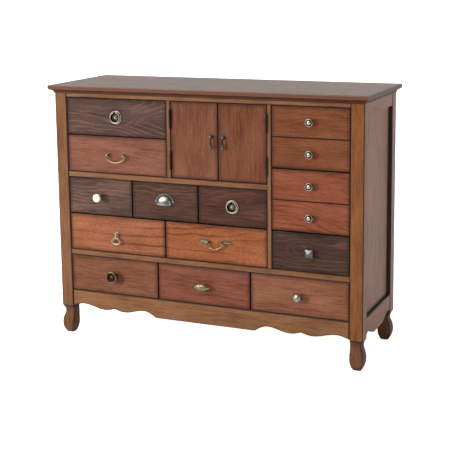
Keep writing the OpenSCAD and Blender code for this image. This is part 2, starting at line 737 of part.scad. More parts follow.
// Ivory knob: a long waisted stem and a flat, round-edged face
ivory_knob_shares = [[0, 0], [0.8, 0], [0.84, 0.05], [0.8, 0.11], [0.55, 0.2], [0.48, 0.38],
    [0.58, 0.55], [0.86, 0.66], [0.98, 0.74], [1, 0.82], [0.97, 0.91], [0.86, 0.975], [0.5, 0.995], [0, 1]];
module ivory_knob() color("ivory") on_front(mid_x(bay_b1), mid_z(bay_b1))
    turned_knob(ivory_knob_shares, ivory_knob_r, ivory_knob_reach);

// Dished bronze knob: a wide rim round a hollow with a button in it
dished_knob_shares = concat(
    [[0, 0], [0.55, 0], [0.57, 0.07], [0.4, 0.16], [0.3, 0.42], [0.55, 0.55], [0.9, 0.64],
     [1, 0.76], [0.98, 0.88], [0.88, 0.96], [0.8, 0.94], [0.72, 0.84], [0.6, 0.74], [0.36, 0.7]],
    dome_shares(0.33, 0.72, 0.86));
module dished_knob() bronze() on_front(mid_x(bay_d1), mid_z(bay_d1))
    turned_knob(dished_knob_shares, dish_knob_r, dish_knob_reach);

// Hammered knob: a facetted ball on a flared foot
hammer_foot_shares = [[0, 0], [0.62, 0], [0.62, 0.2], [0.42, 0.45], [0.38, 1], [0, 1]];
module hammered_knob() color("#9aa394") on_front(mid_x(bay_d3), mid_z(bay_d3)) {
    turned_knob(hammer_foot_shares, hammer_knob_r, hammer_foot);
    intersection() {
        translate([0, 0, hammer_ball]) rotate(18) sphere(hammer_knob_r, $fn = 10);
        translate([0, 0, hammer_foot]) cylinder(r = 2 * hammer_knob_r, h = 2 * hammer_knob_r);
    }
}

// Oval knob: a long body drawn out to both ends, on a round neck
oval_neck_shares = [[0, 0], [1, 0], [1, 0.1], [0.62, 0.3], [0.55, 1], [0, 1]];
module oval_knob() brass() on_front(mid_x(bay_d2), mid_z(bay_d2)) {
    side_r = (oval_knob_len * oval_knob_len / 4 + oval_knob_h * oval_knob_h / 4) / oval_knob_h;
    side_a = asin(oval_knob_len / 2 / side_r);
    turned_knob(oval_neck_shares, oval_knob_h * 0.36, oval_neck);
    intersection() {
        translate([0, 0, oval_mid]) rotate([0, 90, 0]) rotate_extrude()
            intersection() {
                polygon(concat([[0, -oval_knob_len / 2]],
                    arc([oval_knob_h / 2 - side_r, 0], side_r, -side_a * 0.97, side_a * 0.97, 18),
                    [[0, oval_knob_len / 2]]));
                translate([0, -oval_knob_len]) square([oval_knob_len, 2 * oval_knob_len]);
            }
        translate([0, 0, oval_neck]) cylinder(r = oval_knob_len, h = oval_knob_len);
    }
}

// Square knob: a round neck, a square plate and a low pyramid
module square_knob() pewter() on_front(mid_x(bay_e3), mid_z(bay_e3)) {
    neck = square_knob_reach * 0.5;
    plate = square_knob_reach * 0.16;
    turned_knob(hammer_foot_shares, square_knob_w / 2, neck);
    translate([-square_knob_w / 2, -square_knob_w / 2, neck]) cube([square_knob_w, square_knob_w, plate]);
    translate([0, 0, neck + plate]) linear_extrude(square_knob_reach - neck - plate, scale = 0.12)
        square(square_knob_w, center = true);
}

// Rosette: a rimmed plate with a boss in the middle and a ball that holds the ring
rosette_shares = [[0, 0], [1, 0], [1, 0.6], [0.96, 1], [0.88, 1], [0.84, 0.7], [0.4, 0.5], [0, 0.5]];
lug_gap_a = 14;
lug_r = ring_r * sin(lug_gap_a) - ring_rod_r * sin(lug_gap_a) - 0.18 * ring_rod_r;
lug_pin_r = ring_rod_r * 0.55;
lug_up = ring_r * cos(lug_gap_a);
module rosette(bay) brass() on_front(mid_x(bay), mid_z(bay)) {
    turned_knob(rosette_shares, rosette_r, rosette_t);
    rotate_extrude() polygon(turned(concat([[0, 0], [1, 0], [1, 0.35], [0.8, 0.5]],
        dome_shares(0.75, 0.55, 1)), rosette_boss_r, ring_out));
    difference() {
        translate([0, lug_up, 0]) union() {
            cylinder(r = lug_r * 0.7, h = ring_out);
            translate([0, 0, ring_out]) sphere(lug_r);
        }
        for (way = [-1, 1])
            translate([way * lug_r * 0.35, lug_up, ring_out]) rotate([0, way * 90, 0])
                cylinder(r = lug_pin_r + pivot_gap, h = 2 * lug_r);
    }
}
module upper_rosette() rosette(bay_a1);
module middle_rosette() rosette(bay_b3);

// Ring: an open circle of rod whose pins sit in the rosette's ball
module ring(bay) brass() on_front(mid_x(bay), mid_z(bay)) translate([0, 0, ring_out]) {
    rotate(90 + lug_gap_a) rotate_extrude(angle = 360 - 2 * lug_gap_a)
        translate([ring_r, 0]) circle(ring_rod_r);
    for (way = [-1, 1])
        translate([way * lug_r * 0.45, lug_up, 0]) rotate([0, way * 90, 0])
            cylinder(r = lug_pin_r, h = ring_r * sin(lug_gap_a) - lug_r * 0.45 + ring_rod_r * 0.3);
}
module upper_ring() ring(bay_a1);
module middle_ring() ring(bay_b3);

// Bail: a shallow bow, an elbow at each end and a pin that turns in the post's ball
function bow_r(drop) = (drop - bail_elbow_r * (1 + cos(bail_angle))) / (1 - cos(bail_angle));
function bow_elbow_x(drop) = sin(bail_angle) * (bow_r(drop) - bail_elbow_r);
ball_r = bail_rod_r * 1.9;
bail_pin_r = bail_rod_r * 0.6;
function past_first(points) = [for (i = [1 : len(points) - 1]) points[i]];

// A round rod bent along points in a plane, with a radius at each point
rod_sides = 12;
module swept_rod(points, radii) {
    last = len(points) - 1;
    function along(i) = points[min(i + 1, last)] - points[max(i - 1, 0)];
    rings = [for (i = [0 : last], k = [0 : rod_sides - 1])
        let (d = along(i) / norm(along(i)), a = 360 * k / rod_sides)
        [points[i][0] - d[1] * radii[i] * cos(a), points[i][1] + d[0] * radii[i] * cos(a),
         radii[i] * sin(a)]];
    walls = [for (i = [0 : last - 1], k = [0 : rod_sides - 1])
        let (a = i * rod_sides + k, b = i * rod_sides + (k + 1) % rod_sides)
        each [[b, a, b + rod_sides], [b + rod_sides, a, a + rod_sides]]];
    caps = [for (k = [1 : rod_sides - 2])
        each [[0, k, k + 1], [last * rod_sides, last * rod_sides + k + 1, last * rod_sides + k]]];
    polyhedron(rings, concat(walls, caps));
}

// The bow's line runs from one elbow's pin to the other's
function bow_line(drop, steps) = concat(
    arc([-bow_elbow_x(drop), -bail_elbow_r], bail_elbow_r, 90, 270 - bail_angle),
    past_first(arc([0, bow_r(drop) - drop], bow_r(drop), 270 - bail_angle, 270 + bail_angle, steps)),
    past_first(arc([bow_elbow_x(drop), -bail_elbow_r], bail_elbow_r, bail_angle - 90, 90)));
module bow(drop, steps, swell = 0, beads = 1) {
    line = bow_line(drop, steps);
    bead_end = bow_elbow_x(drop) / 2;
    swept_rod(line, [for (q = line) bail_rod_r * (1 + (abs(q[0]) > bead_end ? 0
        : swell * abs(cos(90 * beads * q[0] / bead_end))))]);
    for (way = [-1, 1])
        translate([way * (bow_elbow_x(drop) + bail_pin_r), 0, 0]) rotate([0, -way * 90, 0])
            cylinder(r = bail_pin_r, h = bail_elbow_r + 2 * bail_pin_r);
}

// Bail post: a turned foot and a ball, bored and flat where the bail's elbow turns
post_shares = [[0, 0], [1.5, 0], [1.6, 0.08], [1.4, 0.16], [0.75, 0.25], [0.6, 0.6], [0.6, 1], [0, 1]];
module bail_post() {
    turned_knob(post_shares, ball_r, bail_out);
    translate([0, 0, bail_out]) sphere(ball_r);
}
module post_pair(bay, drop, up = 0)
    for (way = [-1, 1]) on_front(mid_x(bay), mid_z(bay) + up)
        difference() {
            translate([way * post_half(drop), 0, 0]) bail_post();
            translate([way * post_half(drop), 0, bail_out]) rotate([0, way * 90, 0]) {
                translate([0, 0, -bail_pin_r - seat_gap])
                    cylinder(r = bail_pin_r + pivot_gap, h = 2 * ball_r);
                translate([0, 0, bail_elbow_r - seat_gap]) cylinder(r = ball_r, h = ball_r);
            }
        }
module bail_posts() brass() post_pair(bay_a2, bail_drop);
module bail() brass() on_front(mid_x(bay_a2), mid_z(bay_a2)) translate([0, 0, bail_out])
    bow(bail_drop, 20);

// Leaf plates: a pointed leaf under each post of the ornate bail
module leaf_plates() brass() {
    post_pair(bay_c2, leaf_bail_drop, leaf_rise);
    leaf_r = (leaf_plate_len * leaf_plate_len / 4 + leaf_plate_w * leaf_plate_w / 4) / leaf_plate_w;
    leaf_out = leaf_plate_len * 0.435;
    for (way = [-1, 1])
        on_front(mid_x(bay_c2) + way * (post_half(leaf_bail_drop) + leaf_out), mid_z(bay_c2) + leaf_rise)
            difference() {
                linear_extrude(rosette_t) intersection_for(up = [-1, 1])
                    translate([0, up * (leaf_r - leaf_plate_w / 2)]) circle(leaf_r, $fn = 96);
                translate([-way * leaf_out, 0, -cut]) cylinder(r = ball_r * 1.62, h = rosette_t + 2 * cut);
            }
}
module leaf_bail() brass() on_front(mid_x(bay_c2), mid_z(bay_c2) + leaf_rise)
    translate([0, 0, bail_out]) bow(leaf_bail_drop, 72, 0.5, 5);

// Cup pull: half a hollow dome on a half-round flange, open below
cup_mid_r = cup_r + cup_flange / 2;
cup_screw_a = 14.5;
cup_screw_x = cup_mid_r * cos(cup_screw_a);
cup_screw_up = cup_mid_r * sin(cup_screw_a);
cup_lip = 2;
module cup_pull() pewter() on_front(mid_x(bay_b2), mid_z(bay_b2) - cup_screw_up) {
    outer = [for (a = [0 : 9 : 90]) [cup_r * cos(a), cup_lip + (cup_reach - cup_lip) * sin(a)]];
    inner = [for (a = [90 : -9 : 0]) [(cup_r - cup_wall) * cos(a), (cup_reach - cup_wall) * sin(a)]];
    difference() {
        union() {
            rotate_extrude(angle = 180)
                polygon(concat([[cup_r + cup_flange, 0], [cup_r + cup_flange, cup_lip * 0.7],
                    [cup_r + cup_flange * 0.9, cup_lip]], outer, inner));
            for (way = [-1, 1])
                translate([way * cup_screw_x, cup_screw_up, 0]) cylinder(r = cup_ear_r, h = cup_lip);
        }
        for (way = [-1, 1])
            translate([way * cup_screw_x, cup_screw_up, -cut]) cylinder(r = screw_hole_r, h = 3 * cup_lip);
    }
    for (way = [-1, 1])
        translate([way * cup_screw_x, cup_screw_up, 0]) {
            pull_screw();
            cylinder(r = screw_r, h = cup_lip);
            translate([0, 0, cup_lip]) intersection() {
                translate([0, 0, -screw_r * 1.2]) sphere(screw_r * 2);
                cylinder(r = screw_r * 1.5, h = 2 * screw_r);
            }
        }
}

// Drop bosses: a round plate, a stem and two ears with a pin that holds the drop
eye_r = 3;
eye_w = 3;
ear_t = 1.4;
drop_pin_r = 1.1;
boss_shares = [[0, 0], [1, 0], [1, 0.08], [0.8, 0.16], [0.45, 0.24], [0.4, 0.6], [0, 0.6]];
boss_r = 7.5;
module drop_holder() {
    stem = drop_out - eye_r;
    turned_knob(boss_shares, boss_r, stem);
    for (way = [-1, 1])
        translate([way * (eye_w / 2 + seat_gap + ear_t / 2), 0, 0]) {
            translate([-ear_t / 2, -eye_r, stem * 0.2]) cube([ear_t, 2 * eye_r, drop_out - stem * 0.2]);
            translate([0, 0, drop_out]) rotate([0, 90, 0]) cylinder(r = eye_r, h = ear_t, center = true);
        }
    translate([0, 0, drop_out]) rotate([0, 90, 0])
        cylinder(r = drop_pin_r, h = eye_w + 2 * seat_gap + ear_t, center = true);
}
module eye()
    rotate([0, 90, 0]) difference() {
        cylinder(r = eye_r, h = eye_w, center = true);
        cylinder(r = drop_pin_r + pivot_gap, h = eye_w + cut, center = true);
    }

module left_pendant_boss() pewter() on_front(left_pendant_x, pendant_z) drop_holder();
module right_pendant_boss() pewter() on_front(right_pendant_x, pendant_z) drop_holder();

// Pendant: a turned drop that hangs by its eye, turned about its own upright axis
pendant_shares = [[0, 0], [0.25, 0], [0.3, 0.1], [0.6, 0.17], [0.36, 0.24], [0.42, 0.4], [0.8, 0.62],
    [1, 0.8], [0.85, 0.93], [0.45, 0.985], [0, 1]];
module pendant() {
    difference() {
        rotate([90, 0, 0]) translate([0, 0, eye_r * 0.7])
            rotate_extrude() polygon(turned(pendant_shares, pendant_r, pendant_len - eye_r * 0.7));
        rotate([0, 90, 0]) cylinder(r = eye_r * 0.8, h = 4 * eye_w, center = true);
    }
    eye();
}
module left_pendant() pewter()
    on_front(left_pendant_x, pendant_z) translate([0, 0, drop_out]) pendant();
module right_pendant() pewter()
    on_front(right_pendant_x, pendant_z) translate([0, 0, drop_out]) pendant();

// Drop pull: a boss above the middle of its drawer, two beads and a flattened pear loop
drop_rise_share = 0.19;
loop_height_share = 0.58;
drop_z = mid_z(bay_c1) + loop_drop * drop_rise_share;
module drop_boss() pewter() on_front(mid_x(bay_c1), drop_z) drop_holder();
function bead(at, r, from_r) = let (a0 = asin(from_r / r))
    [for (i = [0 : 8]) let (a = a0 + (180 - 2 * a0) * i / 8) [r * sin(a), at - r * cos(a)]];
module drop_loop() pewter() on_front(mid_x(bay_c1), drop_z) translate([0, 0, drop_out]) {
    open_a = 50;
    bead_y = -loop_drop + loop_r * loop_height_share / sin(open_a);
    eye();
    neck_r = eye_w * 0.45;
    difference() {
        rotate([90, 0, 0]) rotate_extrude()
            polygon(concat([[0, 0], [neck_r, 0]], bead(-bead_y * 0.55, loop_rod_r * 1.3, neck_r),
                bead(-bead_y, loop_rod_r * 1.75, neck_r), [[0, -bead_y + loop_rod_r * 1.75]]));
        rotate([0, 90, 0]) cylinder(r = eye_r * 0.8, h = 4 * eye_w, center = true);
    }
    slope = [sin(open_a), -cos(open_a) * loop_height_share];
    near = slope / norm(slope) * loop_rod_r * 1.25;
    line = concat([[0, bead_y] + [-near[0], near[1]]],
        [for (q = arc([0, 0], loop_r, 180 - open_a, 360 + open_a, 28))
            [q[0], q[1] * loop_height_share - loop_drop]],
        [[0, bead_y] + near]);
    swept_rod(line, [for (q = line) loop_rod_r]);
}

top_board();
top_moulding();
front_left_post();
front_right_post();
rear_posts();
front_feet();
rear_feet();
front_apron();
side_aprons();
top_rail();
middle_rail();
lower_rail();
door_stile();
column_stile();
side_panels();
case_rails();
back_panel();
partitions();
dust_panels();
door_stop();
fixed_hinge_leaves();
upper_left_drawer();
second_left_drawer();
third_row_left_drawer();
third_row_middle_drawer();
third_row_right_drawer();
fourth_row_left_drawer();
fourth_row_right_drawer();
bottom_left_drawer();
bottom_middle_drawer();
bottom_right_drawer();
column_top_drawer();
column_middle_drawer();
column_low_drawer();
left_door();
right_door();
left_door_hinge_leaves();
right_door_hinge_leaves();
upper_rosette();
upper_ring();
bail_posts();
bail();
ivory_knob();
cup_pull();
middle_rosette();
middle_ring();
drop_boss();
drop_loop();
leaf_plates();
leaf_bail();
dished_knob();
oval_knob();
hammered_knob();
column_top_knobs();
column_middle_knobs();
square_knob();
left_pendant_boss();
right_pendant_boss();
left_pendant();
right_pendant();
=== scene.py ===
"""The looks of the accent chest: stained woods and toned metal pulls over its framed case."""
import json
import math
import bpy
from mathutils import Matrix, Vector

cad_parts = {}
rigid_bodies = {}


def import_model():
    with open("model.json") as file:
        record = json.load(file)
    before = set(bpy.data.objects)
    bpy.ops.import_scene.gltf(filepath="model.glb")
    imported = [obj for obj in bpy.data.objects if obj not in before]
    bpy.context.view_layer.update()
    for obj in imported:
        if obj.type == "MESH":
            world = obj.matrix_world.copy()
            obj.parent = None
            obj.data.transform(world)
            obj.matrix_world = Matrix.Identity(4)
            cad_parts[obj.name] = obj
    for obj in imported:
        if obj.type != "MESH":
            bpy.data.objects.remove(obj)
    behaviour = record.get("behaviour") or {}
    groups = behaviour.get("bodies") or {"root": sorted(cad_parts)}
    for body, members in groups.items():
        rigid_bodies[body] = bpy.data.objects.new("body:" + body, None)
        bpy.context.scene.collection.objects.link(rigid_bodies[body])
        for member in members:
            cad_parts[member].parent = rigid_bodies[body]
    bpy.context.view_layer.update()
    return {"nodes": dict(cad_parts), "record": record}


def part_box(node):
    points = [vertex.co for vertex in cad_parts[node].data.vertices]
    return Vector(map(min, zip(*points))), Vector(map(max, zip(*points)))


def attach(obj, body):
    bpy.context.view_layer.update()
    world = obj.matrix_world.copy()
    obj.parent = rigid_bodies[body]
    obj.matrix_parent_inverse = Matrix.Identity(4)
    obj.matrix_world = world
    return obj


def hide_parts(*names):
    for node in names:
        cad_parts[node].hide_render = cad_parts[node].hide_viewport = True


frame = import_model()
nodes = frame["nodes"]


# The room: a pale seamless floor in even white light from overhead, a low key from the left
# in front and a weak fill from the right. Shiny surfaces see a dim room in front, a bright
# wall behind and a soft window high on the left.
def add(tree, kind, takes=None, **settings):
    """A shader node with its settings made and its inputs linked or filled."""
    made = tree.nodes.new("ShaderNode" + kind)
    for label, value in settings.items():
        setattr(made, label, value)
    for key, value in (takes or {}).items():
        if isinstance(value, bpy.types.NodeSocket):
            tree.links.new(value, made.inputs[key])
        else:
            made.inputs[key].default_value = value
    return made


def calc(tree, operation, *values):
    return add(tree, "Math", dict(enumerate(values)), operation=operation).outputs[0]


def ranged(tree, value, from_low, from_high, to_low=0.0, to_high=1.0, curve="LINEAR"):
    takes = {0: value, 1: from_low, 2: from_high, 3: to_low, 4: to_high}
    return add(tree, "MapRange", takes, interpolation_type=curve).outputs[0]


def new_material(name):
    material = bpy.data.materials.new(name)
    material.use_nodes = True
    return material, material.node_tree, material.node_tree.nodes["Principled BSDF"].inputs


bpy.context.scene.view_settings.view_transform = "Standard"
bpy.ops.object.select_all(action="DESELECT")
bpy.ops.mesh.primitive_plane_add(size=200, location=(0, 0, 0))
floor = bpy.context.object
floor.name = "studio_floor"
floor_paint, floor_tree, floor_shader = new_material("studio floor")
floor_shader["Base Color"].default_value = (0.93, 0.93, 0.93, 1)
floor_shader["Roughness"].default_value = 0.9
floor_shader["Specular IOR Level"].default_value = 0.1
floor_shader["Emission Color"].default_value = (1.0, 1.0, 1.0, 1)
floor_seen = add(floor_tree, "LightPath").outputs["Is Camera Ray"]
floor_glow = calc(floor_tree, "MULTIPLY", floor_seen, 0.82)
floor_tree.links.new(floor_glow, floor_shader["Emission Strength"])
floor.data.materials.append(floor_paint)


def brightness(tree, aim, start, full, low, high):
    """The room's brightness, which goes from low to high as the view turns to the aim."""
    view = add(tree, "TexCoord").outputs["Generated"]
    nearness = add(tree, "VectorMath", {0: view, 1: aim}, operation="DOT_PRODUCT").outputs["Value"]
    return ranged(tree, nearness, start, full, low, high, "SMOOTHSTEP")


world = bpy.data.worlds.new("white studio")
world.use_nodes = True
sky = world.node_tree
ray = add(sky, "LightPath").outputs
wall = brightness(sky, (-0.45, 0.89, 0.0), -0.3, 0.9, 0.08, 0.92)
window = brightness(sky, (-0.58, -0.52, 0.63), 0.86, 0.94, 0.0, 3.2)
for_shine = add(sky, "Mix", {"Factor": ray["Is Glossy Ray"], "A": 0.31,
                             "B": calc(sky, "ADD", wall, window)}).outputs["Result"]
for_camera = add(sky, "Mix", {"Factor": ray["Is Camera Ray"], "A": for_shine,
                              "B": 1.0}).outputs["Result"]
sky.links.new(for_camera, sky.nodes["Background"].inputs["Strength"])
sky.nodes["Background"].inputs["Color"].default_value = (1.0, 1.0, 1.0, 1)
bpy.context.scene.world = world


def studio_light(name, kind, place, aim, strength, spread):
    lamp = bpy.data.lights.new(name, kind)
    lamp.energy = strength
    if kind == "SUN":
        lamp.angle = spread
    else:
        lamp.shape = "SQUARE"
        lamp.size = spread
    holder = bpy.data.objects.new(name, lamp)
    holder.location = place
    holder.rotation_euler = (Vector(aim) - Vector(place)).to_track_quat("-Z", "Y").to_euler()
    bpy.context.scene.collection.objects.link(holder)
    return holder


studio_light("overhead_light", "SUN", (0, 0, 3), (0.35, 0.55, 2), 2.0, 1.2)
key = studio_light("key_light", "AREA", (-2.3, -3.0, 1.15), (0, 0, 0.5), 125, 0.55)
key.visible_glossy = False
studio_light("fill_light", "AREA", (3.4, -1.6, 1.8), (0, 0, 0.5), 12, 2.0)

# The camera stands to the front right, a little above the top, as in the photograph. Its
# place and its turn come from points measured there.
camera = bpy.data.objects.new("photo_camera", bpy.data.cameras.new("photo_camera"))
bpy.context.scene.collection.objects.link(camera)
camera.data.sensor_width = 36
camera.data.lens = 88.21
camera.data.shift_x = 0.013
camera.data.shift_y = -0.15
camera_place = (1.5450, -3.5163, 1.3034)
yaw, pitch, roll = 0.4172, 0.1671, -0.0127
facing = Matrix.Rotation(yaw, 4, "Z") @ Matrix.Rotation(math.pi / 2 - pitch, 4, "X")
camera.matrix_world = Matrix.Translation(camera_place) @ facing @ Matrix.Rotation(roll, 4, "Z")
bpy.context.scene.camera = camera

# Case boards: solid wood stained an orange brown under a satin lacquer, darker along
# their arrises. Painted shade darkens the top's nose and the moulding under it, the rear
# posts' inner faces, the recess of the side panels and the ledge below it.
MM = 0.001
# dark colour of the arrises, also used for the painted shade on the case
edge_and_shade_dark = (0.022, 0.011, 0.006, 1)
# painted shade on the top's nose
nose_shade = (0.090, 0.022, 0.007, 1)
# dark pores and pale fibres, as shares of the board's own tone
rubbed = ((0.52, 0.42, 0.38), (1.35, 1.45, 1.50))


def stained(tone, stain):
    """A wood's three tones: its pores, the board's own and its fibres."""
    pores, fibres = stain
    return [tuple(part * share for part, share in zip(tone, shares))
            for shares in (pores, (1, 1, 1), fibres)]


def blend(tree, share, first, second):
    return add(tree, "Mix", {0: share, 6: first, 7: second}, data_type="RGBA").outputs[2]


def times(tree, first, second):
    return calc(tree, "MULTIPLY", first, second)


def vector(tree, operation, *values):
    return add(tree, "VectorMath", dict(enumerate(values)), operation=operation).outputs[0]


def split(tree, source):
    return add(tree, "SeparateXYZ", {0: source}).outputs


def noise(tree, source, scales, detail, rough):
    """Noise over a vector that is first scaled along its three axes, in waves per metre."""
    takes = {"Vector": vector(tree, "MULTIPLY", source, scales), "Scale": 1.0,
             "Detail": detail, "Roughness": rough}
    return add(tree, "TexNoise", takes).outputs["Fac"]


def new_group(name, takes, gives):
    group = bpy.data.node_groups.new(name, "ShaderNodeTree")
    for label, kind, value in takes:
        socket = group.interface.new_socket(label, in_out="INPUT", socket_type="NodeSocket" + kind)
        socket.default_value = value
    for label, kind in gives:
        group.interface.new_socket(label, in_out="OUTPUT", socket_type="NodeSocket" + kind)
    way_in, way_out = group.nodes.new("NodeGroupInput"), group.nodes.new("NodeGroupOutput")
    return group, way_in.outputs, way_out.inputs


def plank_grain():
    """A sawn board with its grain along the vector's x. Growth rings lie round a heart
    at x, y, and the heart's z says how fast they widen along the board."""
    group, takes, gives = new_group(
        "plank grain",
        [("Vector", "Vector", (0, 0, 0)), ("Seed", "Float", 0.0),
         ("Dark", "Color", (0, 0, 0, 1)), ("Mid", "Color", (0, 0, 0, 1)),
         ("Light", "Color", (0, 0, 0, 1)),
         ("Heart", "Vector", (0, 0, 0.1)), ("Opening", "Float", 0.0), ("Rings", "Float", 90.0),
         ("Figure", "Float", 0.4), ("Fibre", "Float", 1.0), ("Speckle", "Float", 0.25)],
        [("Color", "Color"), ("Relief", "Float")])
    moved = add(group, "CombineXYZ", {0: times(group, takes["Seed"], 0.37),
                                      1: times(group, takes["Seed"], 0.19),
                                      2: times(group, takes["Seed"], 0.53)}).outputs[0]
    board = vector(group, "ADD", takes["Vector"], moved)

    def along_grain(along, across, detail, rough):
        return noise(group, board, (along, across, across), detail, rough)

    def about_zero(value, height):
        return times(group, calc(group, "SUBTRACT", value, 0.5), height)

    # growth rings, which bend round the heart and close in an oval at a knot
    wave = calc(group, "SUBTRACT", along_grain(5.0, 13.0, 2.0, 0.5), 0.5)
    heart = split(group, vector(group, "SUBTRACT", takes["Vector"], takes["Heart"]))
    widening = split(group, takes["Heart"])[2]
    across = calc(group, "ADD", heart[1], times(group, wave, 0.07))
    knot_half = 0.05
    near_knot = calc(group, "MINIMUM", calc(group, "ABSOLUTE", heart[0]), knot_half)
    along = times(group, near_knot, widening)
    squares = calc(group, "ADD", times(group, across, across), times(group, along, along))
    arch = times(group, calc(group, "MAXIMUM", heart[0], 0.0), takes["Opening"])
    distance = calc(group, "SUBTRACT", calc(group, "SQRT", squares), arch)
    year = calc(group, "FRACT", calc(group, "ADD", times(group, distance, takes["Rings"]),
                                     times(group, wave, 1.2)))
    year_end = ranged(group, year, 0.88, 1.0, 1.0, 0.0)
    late_wood = times(group, calc(group, "POWER", year, 5.0), year_end)
    fading = ranged(group, along_grain(3.0, 14.0, 1.0, 0.5), 0.42, 0.62, 0.2, 1.0)
    lines = calc(group, "SUBTRACT", times(group, late_wood, fading), 0.12)

    # fibres, blotches of stain, pores and flecks
    streaks = along_grain(11.0, 190.0, 4.0, 0.65)
    fine = along_grain(26.0, 420.0, 2.0, 0.6)
    cloud = along_grain(7.0, 24.0, 4.0, 0.6)
    pores = ranged(group, along_grain(90.0, 1100.0, 1.0, 0.5), 0.56, 0.68)
    flecks = ranged(group, along_grain(110.0, 330.0, 3.0, 0.6), 0.50, 0.66)
    fibres = calc(group, "ADD", about_zero(streaks, 3.4), about_zero(fine, 1.8))

    tone = calc(group, "ADD", 0.5, times(group, fibres, takes["Fibre"]))
    tone = calc(group, "SUBTRACT", tone, times(group, lines, takes["Figure"]))
    tone = calc(group, "ADD", tone, about_zero(cloud, 1.5))
    lower = blend(group, ranged(group, tone, 0.0, 0.5), takes["Dark"], takes["Mid"])
    colour = blend(group, ranged(group, tone, 0.5, 1.0), lower, takes["Light"])
    colour = blend(group, times(group, pores, 0.4), colour, takes["Dark"])
    colour = blend(group, times(group, flecks, takes["Speckle"]), colour, takes["Dark"])
    relief = calc(group, "ADD", fine, times(group, streaks, 0.5))
    relief = calc(group, "SUBTRACT", relief, times(group, pores, 0.5))
    group.links.new(colour, gives["Color"])
    group.links.new(relief, gives["Relief"])
    return group


def dark_edge():
    """How near a point of a board is to the board's arrises; its two corners bound it."""
    group, takes, gives = new_group(
        "dark edge",
        [("Vector", "Vector", (0, 0, 0)), ("Normal", "Vector", (0, 0, 0)),
         ("Low", "Vector", (0, 0, 0)), ("High", "Vector", (0, 0, 0)),
         ("Reach", "Float", 0.008), ("Wander", "Float", 0.5)],
        [("Mask", "Float")])
    from_low = vector(group, "SUBTRACT", takes["Vector"], takes["Low"])
    from_high = vector(group, "SUBTRACT", takes["High"], takes["Vector"])
    nearest = vector(group, "MINIMUM", from_low, from_high)
    # the way that the face looks doesn't count
    inward = split(group, vector(group, "ADD", nearest, vector(group, "ABSOLUTE", takes["Normal"])))
    inward = calc(group, "MINIMUM", calc(group, "MINIMUM", inward[0], inward[1]), inward[2])
    cloud = noise(group, takes["Vector"], (28.0, 28.0, 28.0), 3.0, 0.6)
    uneven = times(group, calc(group, "SUBTRACT", cloud, 0.5), takes["Wander"])
    uneven = calc(group, "ADD", 1.0, uneven)
    share = calc(group, "DIVIDE", inward, times(group, takes["Reach"], uneven))
    group.links.new(ranged(group, share, 0.0, 1.0, 1.0, 0.0, "SMOOTHSTEP"), gives["Mask"])
    return group


grain_group = plank_grain()
edge_group = dark_edge()


def edge_mask(tree, place, node_name, reach, wander):
    low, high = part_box(node_name)
    takes = {"Vector": place, "Normal": add(tree, "TexCoord").outputs["Normal"],
             "Low": low, "High": high, "Reach": reach, "Wander": wander}
    return add(tree, "Group", takes, node_tree=edge_group).outputs["Mask"]


def wood_grain(tree, place, way, seed, tones, heart, rings, figure, fibre,
               opening=0.0, speckle=0.25):
    """A plank whose grain runs along x, y or z; on x and y boards its y is the height."""
    parts = split(tree, place)
    order = {"x": (0, 2, 1), "y": (1, 2, 0), "z": (2, 0, 1)}[way]
    turned = add(tree, "CombineXYZ", {0: parts[order[0]], 1: parts[order[1]], 2: parts[order[2]]})
    takes = {"Vector": turned.outputs[0], "Seed": seed, "Heart": heart, "Rings": rings,
             "Figure": figure, "Fibre": fibre, "Opening": opening, "Speckle": speckle}
    takes.update({label: (*tone, 1) for label, tone in zip(("Dark", "Mid", "Light"), tones)})
    return add(tree, "Group", takes, node_tree=grain_group).outputs


def lacquered(name, colour_of, gloss=0.40, mirror=0.5):
    """A lacquered wood; colour_of fills the tree and returns its colour and relief."""
    material, tree, shader = new_material(name)
    shader["Specular IOR Level"].default_value = mirror
    colour, height = colour_of(tree, add(tree, "TexCoord").outputs["Object"])
    tree.links.new(colour, shader["Base Color"])
    tree.links.new(ranged(tree, height, 0.4, 1.1, gloss + 0.08, gloss - 0.05), shader["Roughness"])
    bump = add(tree, "Bump", {"Height": height, "Strength": 0.5, "Distance": 0.3 * MM})
    tree.links.new(bump.outputs[0], shader["Normal"])
    return material


def dress(piece, *materials):
    """Fills the piece's slots in order; its faces keep the slots they have."""
    slots = piece.data.materials
    for index, material in enumerate(materials):
        if index < len(slots):
            slots[index] = material
        else:
            slots.append(material)


body_of = {node: body
           for body, held in frame["record"]["behaviour"]["bodies"].items() for node in held}


def softened(node_name, arris, smooth_under, edge_material=None):
    """A copy of a board or a cast piece, with facets smoothed and arrises eased. The eased
    arrises are in the second slot where they have a material of their own."""
    piece = bpy.data.objects.new("fine_" + node_name, nodes[node_name].data.copy())
    if edge_material:
        dress(piece, edge_material, edge_material)
    bpy.context.scene.collection.objects.link(piece)
    bpy.ops.object.select_all(action="DESELECT")
    bpy.context.view_layer.objects.active = piece
    piece.select_set(True)
    bpy.ops.object.mode_set(mode="EDIT")
    bpy.ops.mesh.select_all(action="SELECT")
    bpy.ops.mesh.remove_doubles(threshold=0.000004)
    bpy.ops.mesh.dissolve_limited(angle_limit=math.radians(0.4))
    bpy.ops.object.mode_set(mode="OBJECT")
    if arris > 0:
        ease = piece.modifiers.new("eased arris", "BEVEL")
        ease.width = arris
        ease.segments = 2
        ease.limit_method = "ANGLE"
        ease.angle_limit = math.radians(smooth_under)
        if edge_material:
            ease.material = 1
            ease.use_clamp_overlap = False
        bpy.ops.object.modifier_apply(modifier=ease.name)
    bpy.ops.object.shade_smooth_by_angle(angle=math.radians(smooth_under))
    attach(piece, body_of[node_name])
    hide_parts(node_name)
    return piece


def arris_colour(tree, place):
    rough = noise(tree, place, (300.0, 300.0, 300.0), 2.0, 0.5)
    return blend(tree, rough, edge_and_shade_dark, (0.060, 0.030, 0.016, 1)), rough
